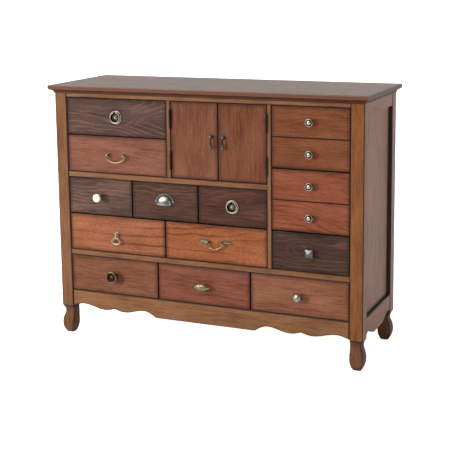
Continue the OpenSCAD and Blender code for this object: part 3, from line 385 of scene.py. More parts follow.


# the eased arris faces are coloured dark
dark_arris = lacquered("darkened arrises", arris_colour, mirror=0.2)
# the sides' tone is painted lighter than the front boards' to make up for the dimmer light on that
# side
side_tone_lightened = (0.243, 0.091, 0.034)
rail_tone = (0.149, 0.064, 0.027)
# board, tone, way of the grain, figure, eased arris, mirror
case_boards = [
    ("top_board", (0.112, 0.055, 0.026), "x", 0.70, 0, 0.6),
    # the moulding's dark tone is painted shade, for it lies under the top's nose
    ("top_moulding", (0.051, 0.017, 0.005), "x", 0.3, 0, 0.2),
    ("front_left_post", (0.133, 0.056, 0.022), "z", 0.35, 3.0 * MM, 0.2),
    ("front_right_post", (0.158, 0.054, 0.014), "z", 0.35, 3.0 * MM, 0.2),
    ("rear_posts", side_tone_lightened, "z", 0.35, 1.5 * MM, 0.65),
    ("front_apron", (0.159, 0.067, 0.026), "x", 0.6, 4.0 * MM, 0.2),
    ("side_aprons", side_tone_lightened, "y", 0.5, 2.5 * MM, 0.65),
    # the top rail is painted lighter than the other rails to offset the shade under the top
    ("top_rail", (0.179, 0.077, 0.033), "x", 0.3, 0, 0.2),
    ("middle_rail", rail_tone, "x", 0.3, 0, 0.2),
    ("lower_rail", rail_tone, "x", 0.3, 0, 0.2),
    ("door_stile", rail_tone, "z", 0.3, 0, 0.2),
    ("column_stile", rail_tone, "z", 0.3, 0, 0.2),
    ("side_panels", side_tone_lightened, "z", 0.55, 0, 0.65),
    ("case_rails", side_tone_lightened, "y", 0.4, 0, 0.65)]
case_hearts = {"x": (0.25, 0.95, 0.10), "y": (0.0, 0.5, 0.2), "z": (0.45, 0.35, 0.12)}
case_rings, case_fibre = 60.0, 0.42
top_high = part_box("top_board")[1].z
rear_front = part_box("rear_posts")[0].y
ledge_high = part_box("side_aprons")[1].z


def dark_edges_and_painted_shade(tree, place, board_name):
    """How dark a case board is made: darker along its arrises, and with painted shade under
    the top's nose, on the rear posts' inner faces, in the side panels' recess and on the ledge
    below it.
    """
    parts = split(tree, place)
    if board_name == "top_board":
        # painted shade under the top's nose
        return ranged(tree, parts[2], top_high - 1.6 * MM, top_high - 0.4 * MM, 1.0, 0.0)
    if board_name == "rear_posts":
        # painted shadow on the rear posts' inner faces, which face into the side recess
        return ranged(tree, parts[1], rear_front + 0.6 * MM, rear_front + 2 * MM, 0.95, 0.0)
    if board_name == "side_panels":
        # painted shadow in the recess of the side panels, beside the rear posts and above the ledge
        shade_beside_post = ranged(tree, parts[1], rear_front - 32 * MM, rear_front - 6 * MM,
                             0.0, 0.97, "SMOOTHSTEP")
        shade_above_ledge = ranged(tree, parts[2], ledge_high + 4 * MM, ledge_high + 13 * MM,
                             0.97, 0.0, "SMOOTHSTEP")
        return calc(tree, "MAXIMUM", shade_beside_post, shade_above_ledge)
    along_edges = times(tree, edge_mask(tree, place, board_name, 3.6 * MM, 0.6), 0.8)
    if board_name == "side_aprons":
        # painted shade on the top of the ledge below the side panels
        shade_on_ledge = ranged(tree, parts[2], ledge_high - 3.0 * MM, ledge_high - 1.6 * MM, 0.0, 0.97)
        return calc(tree, "MAXIMUM", shade_on_ledge, along_edges)
    return along_edges


for seed, (board_name, board_tone, way, figure, arris, mirror) in enumerate(case_boards, 1):

    def case_colour(tree, place, tone=board_tone):
        grain = wood_grain(tree, place, way, seed, stained(tone, rubbed), case_hearts[way],
                           case_rings, figure, case_fibre)
        # the dark of the arrises, and of the painted shade on the nose and in the recesses
        stain = nose_shade if board_name == "top_board" else edge_and_shade_dark
        share = dark_edges_and_painted_shade(tree, place, board_name)
        return blend(tree, share, grain["Color"], stain), grain["Relief"]

    def lightened_side_colour(tree, place):
        return case_colour(tree, place, side_tone_lightened)

    board = softened(board_name, arris, 25, dark_arris) if arris else nodes[board_name]
    dress(board, lacquered("case wood of " + board_name, case_colour, mirror=mirror))
    if board_name.endswith("_post"):
        # a post's outer face takes the sides' tone, painted lighter than its front to make up
        # for the dimmer light on that side
        lightened_side_wood = lacquered("side wood of " + board_name, lightened_side_colour, mirror=0.65)
        board.data.materials.append(lightened_side_wood)
        for face in board.data.polygons:
            if face.material_index == 0 and abs(face.normal.x) > 0.7:
                face.material_index = 2

# Feet: turned-in bulbs under a hollow ankle, of a darker tone than the posts and rounded over
# along their arrises, which are darker. Painted shade darkens the ankle and the sole.
foot_figuring = ((0.0, 0.3, 0.2), 80.0, 0.4, 0.6)
for foot_name, foot_tone, foot_seed in (("front_feet", (0.105, 0.040, 0.015), 21),
                                        ("rear_feet", (0.122, 0.050, 0.017), 22)):

    def foot_colour(tree, place):
        tones = stained(foot_tone, rubbed)
        grain = wood_grain(tree, place, "z", foot_seed, tones, *foot_figuring)
        height = split(tree, place)[2]
        foot_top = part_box(foot_name)[1].z
        # painted shade in the hollow ankle and on the lower part of the bulb
        ankle_shade = ranged(tree, height, foot_top - 30 * MM, foot_top, 0.0, 0.55, "SMOOTHSTEP")
        sole_shade = ranged(tree, height, 0.0, 22 * MM, 0.6, 0.0, "SMOOTHSTEP")
        share = calc(tree, "MAXIMUM", ankle_shade, sole_shade)
        return blend(tree, share, grain["Color"], edge_and_shade_dark), grain["Relief"]

    foot = softened(foot_name, 3.4 * MM, 28, dark_arris)
    dress(foot, lacquered("foot wood of " + foot_name, foot_colour, mirror=0.2))
    # the corners are faces of the bulb that look neither forward nor aside
    for face in foot.data.polygons:
        if min(abs(face.normal.x), abs(face.normal.y)) > 0.45:
            face.material_index = 1

# Inner boards: back, partitions and dust panels of bare plywood and poplar, only sawn. Their
# front edges, which show in the gaps between the drawers, are darkened with painted shade.
bare_tones = ((0.40, 0.26, 0.13), (0.52, 0.36, 0.20), (0.62, 0.46, 0.28))
inner_figuring = ((0.1, 0.6, 0.15), 60.0, 0.5, 0.5)
for inner_name, inner_way, inner_seed in (("back_panel", "x", 31), ("partitions", "y", 32),
                                          ("dust_panels", "x", 33), ("door_stop", "x", 34)):

    def inner_colour(tree, place):
        grain = wood_grain(tree, place, inner_way, inner_seed, bare_tones, *inner_figuring)
        if inner_name == "back_panel":
            return grain["Color"], grain["Relief"]
        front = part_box(inner_name)[0].y
        # painted shade on the front edges, which lie in the gaps between the drawers
        stain = ranged(tree, split(tree, place)[1], front + 6 * MM, front + 20 * MM, 0.97, 0.0)
        return blend(tree, stain, grain["Color"], edge_and_shade_dark), grain["Relief"]

    dress(nodes[inner_name], lacquered("bare wood of " + inner_name, inner_colour, gloss=0.62))

# Drawers: a solid front of its own wood, stained dark and rubbed through towards the
# middle, on a box of bare poplar that shows only when the drawer is out.
front_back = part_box("upper_left_drawer")[0].y + 18 * MM
# dark of the burnished border and of the painted shadow in the gaps
burnish_and_shade_dark = (0.013, 0.009, 0.008, 1)
smoked = ((0.50, 0.46, 0.46), (1.85, 1.60, 1.45))
score_height = {"column_top_drawer": 768.15 * MM, "column_middle_drawer": 558.35 * MM}
score_half, border_wide, gap_shadow_wide = 3.2 * MM, 16 * MM, 5.5 * MM
box_figuring = ((0.1, 0.4, 0.1), 60.0, 0.3, 0.5)
# drawer, tone, stain, heart x and height and widening, rings, figure, fibre, opening
drawer_woods = [
    ("upper_left", (0.074, 0.042, 0.033), smoked, (-0.310, 0.798, 0.03), 64, -1.3, 0.36, 0.36),
    ("second_left", (0.155, 0.059, 0.037), rubbed, (-0.30, 0.30, 0.05), 90, 0.2, 0.38),
    ("third_row_left", (0.089, 0.051, 0.039), smoked, (-0.40, 0.40, 0.04), 60, -1.0, 0.42),
    ("third_row_middle", (0.064, 0.031, 0.021), smoked, (-0.10, 0.43, 0.05), 66, -1.2, 0.42),
    ("third_row_right", (0.064, 0.027, 0.017), smoked, (0.10, 0.50, 0.10), 62, -1.2, 0.42, 0.10),
    ("fourth_row_left", (0.209, 0.072, 0.033), rubbed, (-0.30, 0.52, 0.05), 30, 1.3, 0.36),
    ("fourth_row_right", (0.203, 0.063, 0.024), rubbed, (0.088, 0.384, 0.04), 30, 1.8, 0.34, 0.24),
    ("bottom_left", (0.139, 0.052, 0.026), rubbed, (-0.30, 0.60, 0.06), 80, 0.25, 0.38),
    ("bottom_middle", (0.147, 0.048, 0.028), rubbed, (0.0, 0.60, 0.06), 80, 0.25, 0.42),
    ("bottom_right", (0.173, 0.066, 0.035), rubbed, (0.36, 0.40, 0.10), 80, 0.5, 0.42),
    ("column_top", (0.135, 0.043, 0.018), rubbed, (0.30, 0.95, 0.10), 80, 0.55, 0.36),
    ("column_middle", (0.174, 0.050, 0.024), rubbed, (0.372, 0.606, 0.05), 62, 0.9, 0.36, 0.30),
    ("column_low", (0.049, 0.025, 0.019), smoked, (0.350, 0.394, 0.55), 75, -1.2, 0.38)]


def dark_line(tree, value, middle, half):
    """A soft-edged dark line on either side of a level plane."""
    off = calc(tree, "ABSOLUTE", calc(tree, "SUBTRACT", value, middle))
    return ranged(tree, off, half * 0.5, half, 1.0, 0.0, "SMOOTHSTEP")


def front_finish(name, way, seed, tones, *figuring):
    """The stained front, burnished darker along its border and with painted shadow along its
    arrises and on its edge faces, which lie in the gaps, and the bare box behind it.
    """

    def front_colour(tree, place):
        speckle = 0.75 if name.startswith("fourth_row") else 0.35
        grain = wood_grain(tree, place, way, seed, tones, *figuring, speckle=speckle)
        border = times(tree, edge_mask(tree, place, name, border_wide, 1.2), 0.5)
        # painted shadow along the front's arrises, where the gaps lie in shade
        line = times(tree, edge_mask(tree, place, name, gap_shadow_wide, 0.4), 0.97)
        burnish_and_gap_shade = calc(tree, "MAXIMUM", border, line)
        facing_out = calc(tree, "ABSOLUTE", split(tree, add(tree, "TexCoord").outputs["Normal"])[1])
        # painted shadow on the front's edge faces, which look into the gaps
        gap_shadow_on_sides = ranged(tree, facing_out, 0.3, 0.7, 0.97, 0.0)
        burnish_and_gap_shade = calc(tree, "MAXIMUM", burnish_and_gap_shade, gap_shadow_on_sides)
        if name in score_height:
            score = dark_line(tree, split(tree, place)[2], score_height[name], score_half)
            burnish_and_gap_shade = calc(tree, "MAXIMUM", burnish_and_gap_shade, times(tree, score, 0.92))
        faced = blend(tree, burnish_and_gap_shade, grain["Color"], burnish_and_shade_dark)
        bare = wood_grain(tree, place, "y", seed, bare_tones, *box_figuring)
        behind = calc(tree, "GREATER_THAN", split(tree, place)[1], front_back)
        return blend(tree, behind, faced, bare["Color"]), grain["Relief"]

    dress(nodes[name], lacquered("front wood of " + name, front_colour, gloss=0.45, mirror=0.10))


for seed, (name, tone, stain, *figuring) in enumerate(drawer_woods, 41):
    front_finish(name + "_drawer", "x", seed, stained(tone, stain), *figuring)

# Doors: two flat boards with upright grain, each hung on two butt hinges and stained like
# the drawer fronts.
left_tones = stained((0.137, 0.050, 0.028), rubbed)
right_tones = stained((0.123, 0.043, 0.021), rubbed)
front_finish("left_door", "z", 61, left_tones, (0.4, -0.30, 0.05), 90, 0.35, 0.34)
front_finish("right_door", "z", 62, right_tones, (0.4, 0.40, 0.05), 90, 0.35, 0.34)


# Hinges: small butt hinges of steel between the doors and the posts, blackened like all
# the metal here: plated, toned dark, and rubbed bright again on the high parts. Some pulls
# also carry painted shade on their stems, necks and lower sides.
def toned_metal():
    group, takes, gives = new_group(
        "toned metal",
        [("Vector", "Vector", (0, 0, 0)), ("Bright", "Color", (0, 0, 0, 1)),
         ("Toned", "Color", (0, 0, 0, 1)), ("Toning and shade", "Float", 0.0),
         ("Tarnish", "Float", 0.5), ("Grit", "Float", 900.0)],
        [("Color", "Color"), ("Roughness", "Float"), ("Relief", "Float")])
    gritted = add(group, "VectorMath", {0: takes["Vector"], "Scale": takes["Grit"]},
                  operation="SCALE").outputs[0]
    grit = noise(group, gritted, (1.0, 1.0, 1.0), 3.0, 0.6)
    cloud = noise(group, takes["Vector"], (230.0, 230.0, 230.0), 3.0, 0.6)
    spots = times(group, ranged(group, cloud, 0.38, 0.62), takes["Tarnish"])
    dark = calc(group, "MAXIMUM", takes["Toning and shade"], spots)
    dullness = calc(group, "ADD", dark, times(group, grit, 0.3))
    group.links.new(blend(group, dark, takes["Bright"], takes["Toned"]), gives["Color"])
    group.links.new(ranged(group, dullness, 0.0, 1.3, 0.24, 0.62), gives["Roughness"])
    group.links.new(grit, gives["Relief"])
    return group


metal_group = toned_metal()


def plated(name, bright, toned, tarnish, toning_and_shade_of=None, grit=900.0, depth=0.1 * MM):
    """A toned metal; the function given for its dark parts fills the tree and returns where
    it is dark: toning in hollows, and painted shade on parts that a pull's head shades.
    """
    material, tree, shader = new_material(name)
    shader["Metallic"].default_value = 1.0
    place = add(tree, "TexCoord").outputs["Object"]
    takes = {"Vector": place, "Bright": (*bright, 1), "Toned": (*toned, 1),
             "Tarnish": tarnish, "Grit": grit}
    if toning_and_shade_of:
        takes["Toning and shade"] = toning_and_shade_of(tree, place)
    metal = add(tree, "Group", takes, node_tree=metal_group).outputs
    tree.links.new(metal["Color"], shader["Base Color"])
    tree.links.new(metal["Roughness"], shader["Roughness"])
    bump = add(tree, "Bump", {"Height": metal["Relief"], "Strength": 0.4, "Distance": depth})
    tree.links.new(bump.outputs[0], shader["Normal"])
    return material


hinge_steel = plated("toned hinge steel", (0.050, 0.043, 0.036), (0.012, 0.010, 0.008), 0.7)
for hinge_name in ("fixed_hinge_leaves", "left_door_hinge_leaves", "right_door_hinge_leaves"):
    dress(softened(hinge_name, 0, 35), hinge_steel)

# Ring pulls: a rosette with a beaded rim, a fluted dark hollow and a bright boss, and a ring
# that hangs from a ball at the top. All are cast. The sizes of the pulls are in millimetres.
face_y = -177.25
silver = ((0.60, 0.55, 0.43), (0.016, 0.012, 0.009))
ring_pulls = (("upper_rosette", "upper_ring", (-327.25, 806.25)),
              ("middle_rosette", "middle_ring", (111.25, 520.25)))
rim_up, rim_out, rim_bead_r, rim_beads = 21.6, 2.5, 1.0, 44
flute_up, flute_out, flute_r, flute_count = 11.6, 1.6, 1.5, 18
# inner and outer radius, darkness
fluted_hollow, boss_groove = (7.6, 20.2, 1.0), (3.4, 5.2, 0.85)


def from_axis(tree, place, centre):
    """The distance from a level line that runs front to back through a point."""
    away = vector(tree, "SUBTRACT", place, (centre[0] * MM, 0, centre[1] * MM))
    flat = vector(tree, "MULTIPLY", away, (1, 0, 1))
    return add(tree, "VectorMath", {0: flat}, operation="LENGTH").outputs["Value"]


def dark_bands(centre, *bands):
    """Darkness between the two radii of each band, with soft edges."""
    def dark_parts(tree, place):
        radius = from_axis(tree, place, centre)
        dark, soft = 0.0, 0.7
        for inner, outer, strength in bands:
            into = ranged(tree, radius, (inner - soft) * MM, (inner + soft) * MM)
            leaving = ranged(tree, radius, (outer - soft) * MM, (outer + soft) * MM, strength, 0.0)
            dark = calc(tree, "MAXIMUM", dark, times(tree, into, leaving))
        return dark
    return dark_parts


def ball(name, place, radius, stretch=(1, 1, 1), level=2):
    bpy.ops.object.select_all(action="DESELECT")
    bpy.ops.mesh.primitive_ico_sphere_add(subdivisions=level, radius=radius * MM,
                                          location=[part * MM for part in place])
    piece = bpy.context.object
    piece.name = name
    piece.scale = stretch
    bpy.ops.object.transform_apply(location=True, rotation=True, scale=True)
    bpy.ops.object.shade_smooth()
    return piece


def circled(piece, centre, count):
    """The piece is copied at even steps round a level axis."""
    bpy.ops.object.select_all(action="DESELECT")
    bpy.context.view_layer.objects.active = piece
    piece.select_set(True)
    bpy.ops.object.mode_set(mode="EDIT")
    bpy.ops.mesh.select_all(action="SELECT")
    for step in range(count - 1):
        bpy.ops.mesh.duplicate()
        bpy.ops.transform.rotate(value=2 * math.pi / count, orient_axis="Y",
                                 center_override=(centre[0] * MM, 0, centre[1] * MM))
    bpy.ops.object.mode_set(mode="OBJECT")
    bpy.ops.object.shade_smooth()
    return piece


for rosette_name, ring_name, centre in ring_pulls:
    x, z = centre
    hollows = dark_bands(centre, fluted_hollow, boss_groove)
    dress(softened(rosette_name, 0, 35), plated("metal of " + rosette_name, *silver, 0.35, hollows))
    dress(softened(ring_name, 0, 45), plated("metal of " + ring_name, *silver, 0.55))
    bead = ball(rosette_name + "_beads", (x, face_y - rim_out, z + rim_up), rim_bead_r)
    beads = circled(bead, centre, rim_beads)
    flute_place = (x, face_y - flute_out, z + flute_up)
    flute = ball(rosette_name + "_flutes", flute_place, flute_r, (0.8, 0.6, 2.3))
    flutes = circled(flute, centre, flute_count)
    dress(beads, plated("metal of " + beads.name, *silver, 0.3))
    dress(flutes, plated("metal of " + flutes.name, (0.12, 0.105, 0.08), silver[1], 0.6))
    for trim in (beads, flutes):
        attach(trim, body_of[rosette_name])

# Plain bail: two turned posts, each on a small cast flower, and a bow of brass rod that
# thickens towards its middle and turns on the posts' balls.
brass = ((0.46, 0.34, 0.18), (0.024, 0.016, 0.009))
bail_middle, bail_half = (-327.25, 672.75), 31.2
petal_up, petal_out, petal_r, petal_count = 5.8, 1.1, 2.2, 7


def toning_and_shade_behind(out, strength, spread=1.5):
    """Darkness on what lies nearer to the front board than a reach: toning, and painted shade
    on stems and backs that lie behind a pull's head.
    """
    def dark_parts(tree, place):
        depth, middle = split(tree, place)[1], face_y - out
        return ranged(tree, depth, (middle - spread) * MM, (middle + spread) * MM, 0.0, strength)
    return dark_parts


def as_one(name, *pieces):
    bpy.ops.object.select_all(action="DESELECT")
    for piece in pieces:
        piece.select_set(True)
    bpy.context.view_layer.objects.active = pieces[0]
    bpy.ops.object.join()
    pieces[0].name = name
    return pieces[0]


bail_post_metal = plated("metal of bail posts", *brass, 0.75, toning_and_shade_behind(9.0, 0.85, 4.0))
dress(softened("bail_posts", 0, 38), bail_post_metal)
dress(softened("bail", 0, 50), plated("metal of bail", *brass, 0.4))
bail_flowers = []
for way in (-1, 1):
    x, z = bail_middle[0] + way * bail_half, bail_middle[1]
    petal_place = (x, face_y - petal_out, z + petal_up)
    petal = ball("bail_petals", petal_place, petal_r, (0.85, 0.6, 1.3))
    bail_flowers.append(circled(petal, (x, z), petal_count))
flowers = as_one("bail_flowers", *bail_flowers)
dress(flowers, plated("metal of bail flowers", *brass, 0.75))
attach(flowers, body_of["bail_posts"])

# Ornate bail: posts on pointed cast leaves with raised veins, and a bow with beads along
# its lower half. The CAD leaves are plain plates, so cast ones take their place.
leaf_x, leaf_z, leaf_aside, leaf_inner = 47.7, 393.425, 42.5, 45
leaf_length, leaf_height, leaf_thick = 20, 10, 1.3
notch_depth, tip_taper, swage_wide, swage_up = 0.28, 0.55, 0.9, 0.7
vein_out, mid_vein_r, side_vein_r, vein_slant = 2.0, 1.2, 0.75, 38
# place along the leaf, half length in radii
side_veins = ((-7, 3.6), (0, 3.4), (7, 2.6), (13, 1.7))
bow_bead_places, bow_bead_r = (-14, -9.5, -5, 0, 5, 9.5, 14), 3.1

leaf_posts = softened("leaf_plates", 0, 38)
bpy.ops.object.select_all(action="DESELECT")
leaf_posts.select_set(True)
bpy.context.view_layer.objects.active = leaf_posts
bpy.ops.object.mode_set(mode="EDIT")
bpy.ops.mesh.select_all(action="DESELECT")
bpy.ops.object.mode_set(mode="OBJECT")
for vertex in leaf_posts.data.vertices:
    vertex.select = abs(vertex.co.x - leaf_x * MM) > leaf_inner * MM
bpy.ops.object.mode_set(mode="EDIT")
bpy.ops.mesh.select_mode(type="VERT")
bpy.ops.mesh.select_linked()
bpy.ops.mesh.delete(type="VERT")
bpy.ops.object.mode_set(mode="OBJECT")
dress(leaf_posts, plated("metal of leaf posts", *brass, 0.75, toning_and_shade_behind(8.0, 0.8, 4.0)))


def leaf_plate(middle, way):
    """A leaf cut from sheet with a notched outline, narrower at its tip, and swaged up."""
    bpy.ops.object.select_all(action="DESELECT")
    bpy.ops.mesh.primitive_circle_add(vertices=28, radius=1.0, fill_type="NGON",
                                      rotation=(math.pi / 2, 0, 0))
    leaf = bpy.context.object
    leaf.name = "leaf"
    bpy.ops.object.transform_apply(location=True, rotation=True, scale=True)
    for index, vertex in enumerate(leaf.data.vertices):
        notch = 1.0 - notch_depth if index % 2 else 1.0
        vertex.co.x *= notch if abs(vertex.co.x) < 0.97 else 1.0
        vertex.co.z *= notch * (1.0 - tip_taper * max(0.0, way * vertex.co.x))
    leaf.scale = (leaf_length * MM, 1, leaf_height * MM)
    leaf.location = (middle * MM, face_y * MM, leaf_z * MM)
    bpy.ops.object.transform_apply(location=True, rotation=True, scale=True)
    bpy.ops.object.mode_set(mode="EDIT")
    bpy.ops.mesh.select_all(action="SELECT")
    bpy.ops.mesh.extrude_region_move(TRANSFORM_OT_translate={"value": (0, -leaf_thick * MM, 0)})
    bpy.ops.mesh.inset(thickness=swage_wide * MM, depth=swage_up * MM)
    bpy.ops.mesh.select_all(action="SELECT")
    bpy.ops.mesh.normals_make_consistent(inside=False)
    bpy.ops.object.mode_set(mode="OBJECT")
    bpy.ops.object.shade_smooth_by_angle(angle=math.radians(30))
    return leaf


leaves = []
for way in (-1, 1):
    middle = leaf_x + way * leaf_aside
    leaves.append(leaf_plate(middle, way))
    vein_place = (middle, face_y - vein_out, leaf_z)
    leaves.append(ball("mid_vein", vein_place, mid_vein_r, (15.5, 0.9, 1.0), 3))
    for along, length in side_veins:
        for side in (-1, 1):
            vein = ball("side_vein", (0, 0, 0), side_vein_r, (length, 0.8, 0.8))
            vein.rotation_euler = (0, -side * way * math.radians(vein_slant), 0)
            vein.location = ((middle + way * along) * MM, (face_y - vein_out) * MM,
                             (leaf_z + side * side_vein_r * length) * MM)
            bpy.ops.object.transform_apply(location=True, rotation=True, scale=True)
            leaves.append(vein)
leaf_pair = as_one("veined_leaves", *leaves)
dress(leaf_pair, plated("metal of leaf plates", (0.56, 0.44, 0.26), brass[1], 0.85,
                        toning_and_shade_behind(2.3, 0.96, 0.6)))
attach(leaf_pair, body_of["leaf_plates"])
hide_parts("leaf_plates")

leaf_bail = softened("leaf_bail", 0, 50)
dress(leaf_bail, plated("metal of leaf bail", *brass, 0.6))
bow_beads = []
for across in bow_bead_places:
    bead_x = (leaf_x + across) * MM
    round_it = [vertex.co for vertex in leaf_bail.data.vertices
                if abs(vertex.co.x - bead_x) < 1.6 * MM]
    bead_place = sum(round_it, Vector()) / len(round_it) / MM
    bow_beads.append(ball("bow_bead", bead_place, bow_bead_r, (0.75, 0.95, 1.0)))
bow_beads = as_one("bow_beads", *bow_beads)
dress(bow_beads, plated("metal of bow beads", (0.66, 0.52, 0.30), brass[1], 0.5))
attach(bow_beads, body_of["leaf_bail"])

# Cup pull: half a pressed dome of pewter-toned steel with a flat beaded flange round it,
# held by two screws whose heads are rubbed bright.
pewter = ((0.42, 0.41, 0.38), (0.022, 0.020, 0.018))
cup_middle, cup_base = -142.85, 511.8
screw_aside, screw_up, screw_head_r = 32.68, 8.45, 3.1
flange_inner, flange_outer, skirt_shade_out = 30.0, 35.6, 11.0
row_r, row_out, row_bead_r, row_count, row_from, row_to = 34.2, 2.1, 0.95, 19, 20, 160


def cup_dark(tree, place):
    radius = from_axis(tree, place, (cup_middle, cup_base))
    flange = ranged(tree, radius, (flange_inner - 1) * MM, (flange_inner + 1) * MM, 0.0, 0.80)
    rim = ranged(tree, radius, (flange_outer - 0.4) * MM, (flange_outer + 0.4) * MM, 1.0, 0.35)
    depth = split(tree, place)[1]
    # painted shade on the dome's lower sides near the front board
    skirt_shade = ranged(tree, depth, (face_y - skirt_shade_out) * MM, (face_y - 2.0) * MM, 0.0, 0.75)
    dark = calc(tree, "MAXIMUM", times(tree, flange, rim), skirt_shade)
    for way in (-1, 1):
        screw = from_axis(tree, place, (cup_middle + way * screw_aside, cup_base + screw_up))
        head = ranged(tree, screw, (screw_head_r - 0.7) * MM, screw_head_r * MM)
        gap = ranged(tree, screw, screw_head_r * MM, (screw_head_r + 0.5) * MM, 1.0, 0.0)
        dark = calc(tree, "MINIMUM", dark, calc(tree, "ADD", head, 0.15))
        dark = calc(tree, "MAXIMUM", dark, times(tree, gap, head))
    return dark


dress(softened("cup_pull", 0, 35), plated("metal of cup pull", *pewter, 0.25, cup_dark))
cup_beads = []
for step in range(row_count):
    turn = math.radians(row_from + step * (row_to - row_from) / (row_count - 1))
    bead_place = (cup_middle + row_r * math.cos(turn), face_y - row_out,
                  cup_base + row_r * math.sin(turn))
    cup_beads.append(ball("cup_bead", bead_place, row_bead_r, level=1))
bead_row = as_one("cup_beads", *cup_beads)
dress(bead_row, plated("metal of cup beads", *pewter, 0.4))
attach(bead_row, body_of["cup_pull"])

# Drop pull: a round boss, two beads and a flattened loop with a curl on each shoulder and
# a knuckle at its lowest point, all cast and rubbed bright.
drop_x, drop_y = -333.4, face_y - 12.0
drop_bright = (0.70, 0.62, 0.44)
curl_aside, curl_z, curl_r = 6.4, 375.5, 3.0
knuckle_aside, knuckle_z, knuckle_r = 4.3, 355.1, 3.5
dress(softened("drop_boss", 0, 38),
      plated("metal of drop boss", drop_bright, silver[1], 0.6, toning_and_shade_behind(3.0, 0.75, 2.0)))
dress(softened("drop_loop", 0, 50),
      plated("metal of drop loop", (0.66, 0.58, 0.40), silver[1], 0.7))
drop_trims = []
for way in (-1, 1):
    curl_place = (drop_x + way * curl_aside, drop_y, curl_z)
    drop_trims.append(ball("drop_curl", curl_place, curl_r, (1.15, 0.75, 0.85)))
for way in (-1, 1):
    knuckle_place = (drop_x + way * knuckle_aside, drop_y, knuckle_z)
    drop_trims.append(ball("drop_knuckle", knuckle_place, knuckle_r, (1.1, 0.9, 0.95)))
drop_trim = as_one("drop_trim", *drop_trims)
dress(drop_trim, plated("metal of drop trim", drop_bright, silver[1], 0.35))
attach(drop_trim, body_of["drop_loop"])

# Stepped knobs: turned pewter with a bright dome in a dark groove, two to a front, each
# held by a screw from inside.
knob_bright = (0.60, 0.56, 0.46)
knob_x, dome_r, groove_r = 388.15, 7.1, 11.1
for knob_name, heights in (("column_top_knobs", (820.6, 715.7)),
                           ("column_middle_knobs", (610.8, 505.9))):

    def step_dark(tree, place):
        near = calc(tree, "MINIMUM",
                    *(from_axis(tree, place, (knob_x, height)) for height in heights))
        off_dome = ranged(tree, near, (dome_r - 0.5) * MM, (dome_r + 0.5) * MM)
        to_rim = ranged(tree, near, (groove_r - 0.5) * MM, (groove_r + 0.5) * MM, 1.0, 0.25)
        depth = split(tree, place)[1]
        # painted shade on the stem under the knob's head
        stem = ranged(tree, depth, (face_y - 14) * MM, (face_y - 10) * MM, 0.0, 0.85)
        return calc(tree, "MAXIMUM", times(tree, off_dome, to_rim), stem)

    knob_metal = plated("metal of " + knob_name, knob_bright, pewter[1], 0.3, step_dark)
    dress(softened(knob_name, 0, 38), knob_metal)

# Square knob: a low cast pyramid on a square plate, its arrises just eased, almost black
# near the front board and rubbed on the pyramid.
square_metal = plated("metal of square knob", (0.20, 0.205, 0.185), pewter[1], 0.6,
                      toning_and_shade_behind(12.0, 0.8))
dress(softened("square_knob", 0.4 * MM, 30), square_metal)


# Door pendants: a turned drop that hangs from an eye on a small boss, with painted shade at
# the neck and at the tip, between which the belly stays bright.
def pendant_shade(tree, place):
    height = split(tree, place)[2]
    # painted shade at the neck and at the tip of the drop
    neck = ranged(tree, height, 724 * MM, 736 * MM, 0.0, 0.92)
    tip = ranged(tree, height, 714 * MM, 718 * MM, 0.8, 0.0)
    return calc(tree, "MAXIMUM", neck, tip)


for pendant_name in ("left_pendant", "right_pendant"):
    drop_metal = plated("metal of " + pendant_name, (0.20, 0.19, 0.17), pewter[1], 0.6,
                        pendant_shade)
    boss_metal = plated("metal of " + pendant_name + " boss", *pewter, 0.7,
                        toning_and_shade_behind(13.0, 0.92))
    dress(softened(pendant_name, 0, 40), drop_metal)
    dress(softened(pendant_name + "_boss", 0, 38), boss_metal)

# Dished knob: cast bronze, its rim rubbed bright round a dark hollow, with a button in the
# middle that is rubbed a little.
bronze = ((0.26, 0.19, 0.11), (0.040, 0.015, 0.009))
dish_centre, button, dish = (-349.3, 234.25), (-2.0, 6.0, 0.70), (6.0, 16.5, 0.97)
dished_metal = plated("metal of dished knob", *bronze, 0.55, dark_bands(dish_centre, button, dish))
dress(softened("dished_knob", 0, 38), dished_metal)

# Oval knob: cast brass on a short stem, its long body pitted all over and rubbed to a
# greenish gold.
# painted shadow darkens the stem and what lies near the front board
oval_metal = plated("metal of oval knob", (0.40, 0.34, 0.18), (0.10, 0.08, 0.04), 0.9,
                    toning_and_shade_behind(13.0, 0.85), grit=330.0, depth=1.2 * MM)
dress(softened("oval_knob", 0, 40), oval_metal)

# Hammered knob: a ball beaten to small flats, on a flared foot of warm bronze whose stem
# goes through the front.
hammer_x, hammer_z = 349.3, 234.25
hammer_out, hammer_r = 18.85, 14.5
# radius and reach from the front board
foot_profile = [(4.2, -20.4), (4.2, -18.0), (2.0, -18.0), (2.0, 0.0), (9.0, 0.0), (9.0, 1.7),
                (8.4, 2.3), (6.1, 3.9), (5.5, 8.7), (5.5, 11.0)]

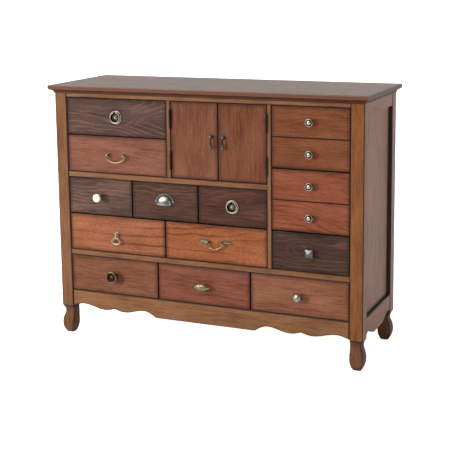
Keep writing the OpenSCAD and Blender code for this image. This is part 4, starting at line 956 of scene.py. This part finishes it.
x, z = hammer_x * MM, hammer_z * MM
radius, out = foot_profile[0]
bpy.ops.object.select_all(action="DESELECT")
bpy.ops.mesh.primitive_circle_add(vertices=64, radius=radius * MM, rotation=(math.pi / 2, 0, 0),
                                  location=(x, (face_y - out) * MM, z))
hammer_foot = bpy.context.object
bpy.ops.object.transform_apply(location=True, rotation=True, scale=True)
bpy.ops.object.mode_set(mode="EDIT")
bpy.ops.mesh.select_all(action="SELECT")
for next_radius, next_out in foot_profile[1:]:
    bpy.ops.mesh.extrude_edges_move(TRANSFORM_OT_translate={"value": (0, (out - next_out) * MM, 0)})
    share = next_radius / radius
    bpy.ops.transform.resize(value=(share, 1, share), center_override=(x, 0, z))
    radius, out = next_radius, next_out
bpy.ops.mesh.select_all(action="SELECT")
bpy.ops.mesh.fill_holes(sides=0)
bpy.ops.mesh.select_all(action="SELECT")
bpy.ops.mesh.normals_make_consistent(inside=False)
bpy.ops.object.mode_set(mode="OBJECT")
bpy.ops.object.shade_smooth_by_angle(angle=math.radians(38))
dress(hammer_foot, plated("metal of hammered knob foot", (0.42, 0.19, 0.045),
                          (0.10, 0.040, 0.012), 0.5))

hammer_ball = ball("hammer_ball", (hammer_x, face_y - hammer_out, hammer_z), hammer_r, level=3)
bpy.ops.object.shade_flat()
flats = hammer_ball.modifiers.new("soft flats", "BEVEL")
flats.width = 0.5 * MM
flats.segments = 2
bpy.ops.object.modifier_apply(modifier=flats.name)
bpy.ops.object.shade_smooth_by_angle(angle=math.radians(9))
dress(hammer_ball, plated("metal of hammered ball", (0.47, 0.48, 0.40),
                          (0.060, 0.055, 0.040), 0.55, toning_and_shade_behind(7.0, 0.85)))
hammered = as_one("hammered_ball_knob", hammer_foot, hammer_ball)
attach(hammered, body_of["hammered_knob"])
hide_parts("hammered_knob")

# Ivory knob: a cream resin face, polished, screwed on a turned wooden stem and foot that
# are stained dark brown.
cream = ((0.72, 0.66, 0.56, 1), (0.58, 0.50, 0.38, 1))
stem_brown = (0.070, 0.022, 0.010, 1)
face_reach = 24.3
resin, resin_tree, resin_shader = new_material("cream resin and brown stem")
resin_place = add(resin_tree, "TexCoord").outputs["Object"]
resin_cloud = noise(resin_tree, resin_place, (200.0, 200.0, 200.0), 3.0, 0.6)
on_stem = ranged(resin_tree, split(resin_tree, resin_place)[1],
                 (face_y - face_reach - 0.3) * MM, (face_y - face_reach + 0.3) * MM)
resin_colour = blend(resin_tree, on_stem, blend(resin_tree, resin_cloud, *cream), stem_brown)
resin_tree.links.new(resin_colour, resin_shader["Base Color"])
resin_gloss = ranged(resin_tree, resin_cloud, 0.3, 0.7, 0.20, 0.34)
resin_tree.links.new(resin_gloss, resin_shader["Roughness"])
dress(softened("ivory_knob", 0, 38), resin)
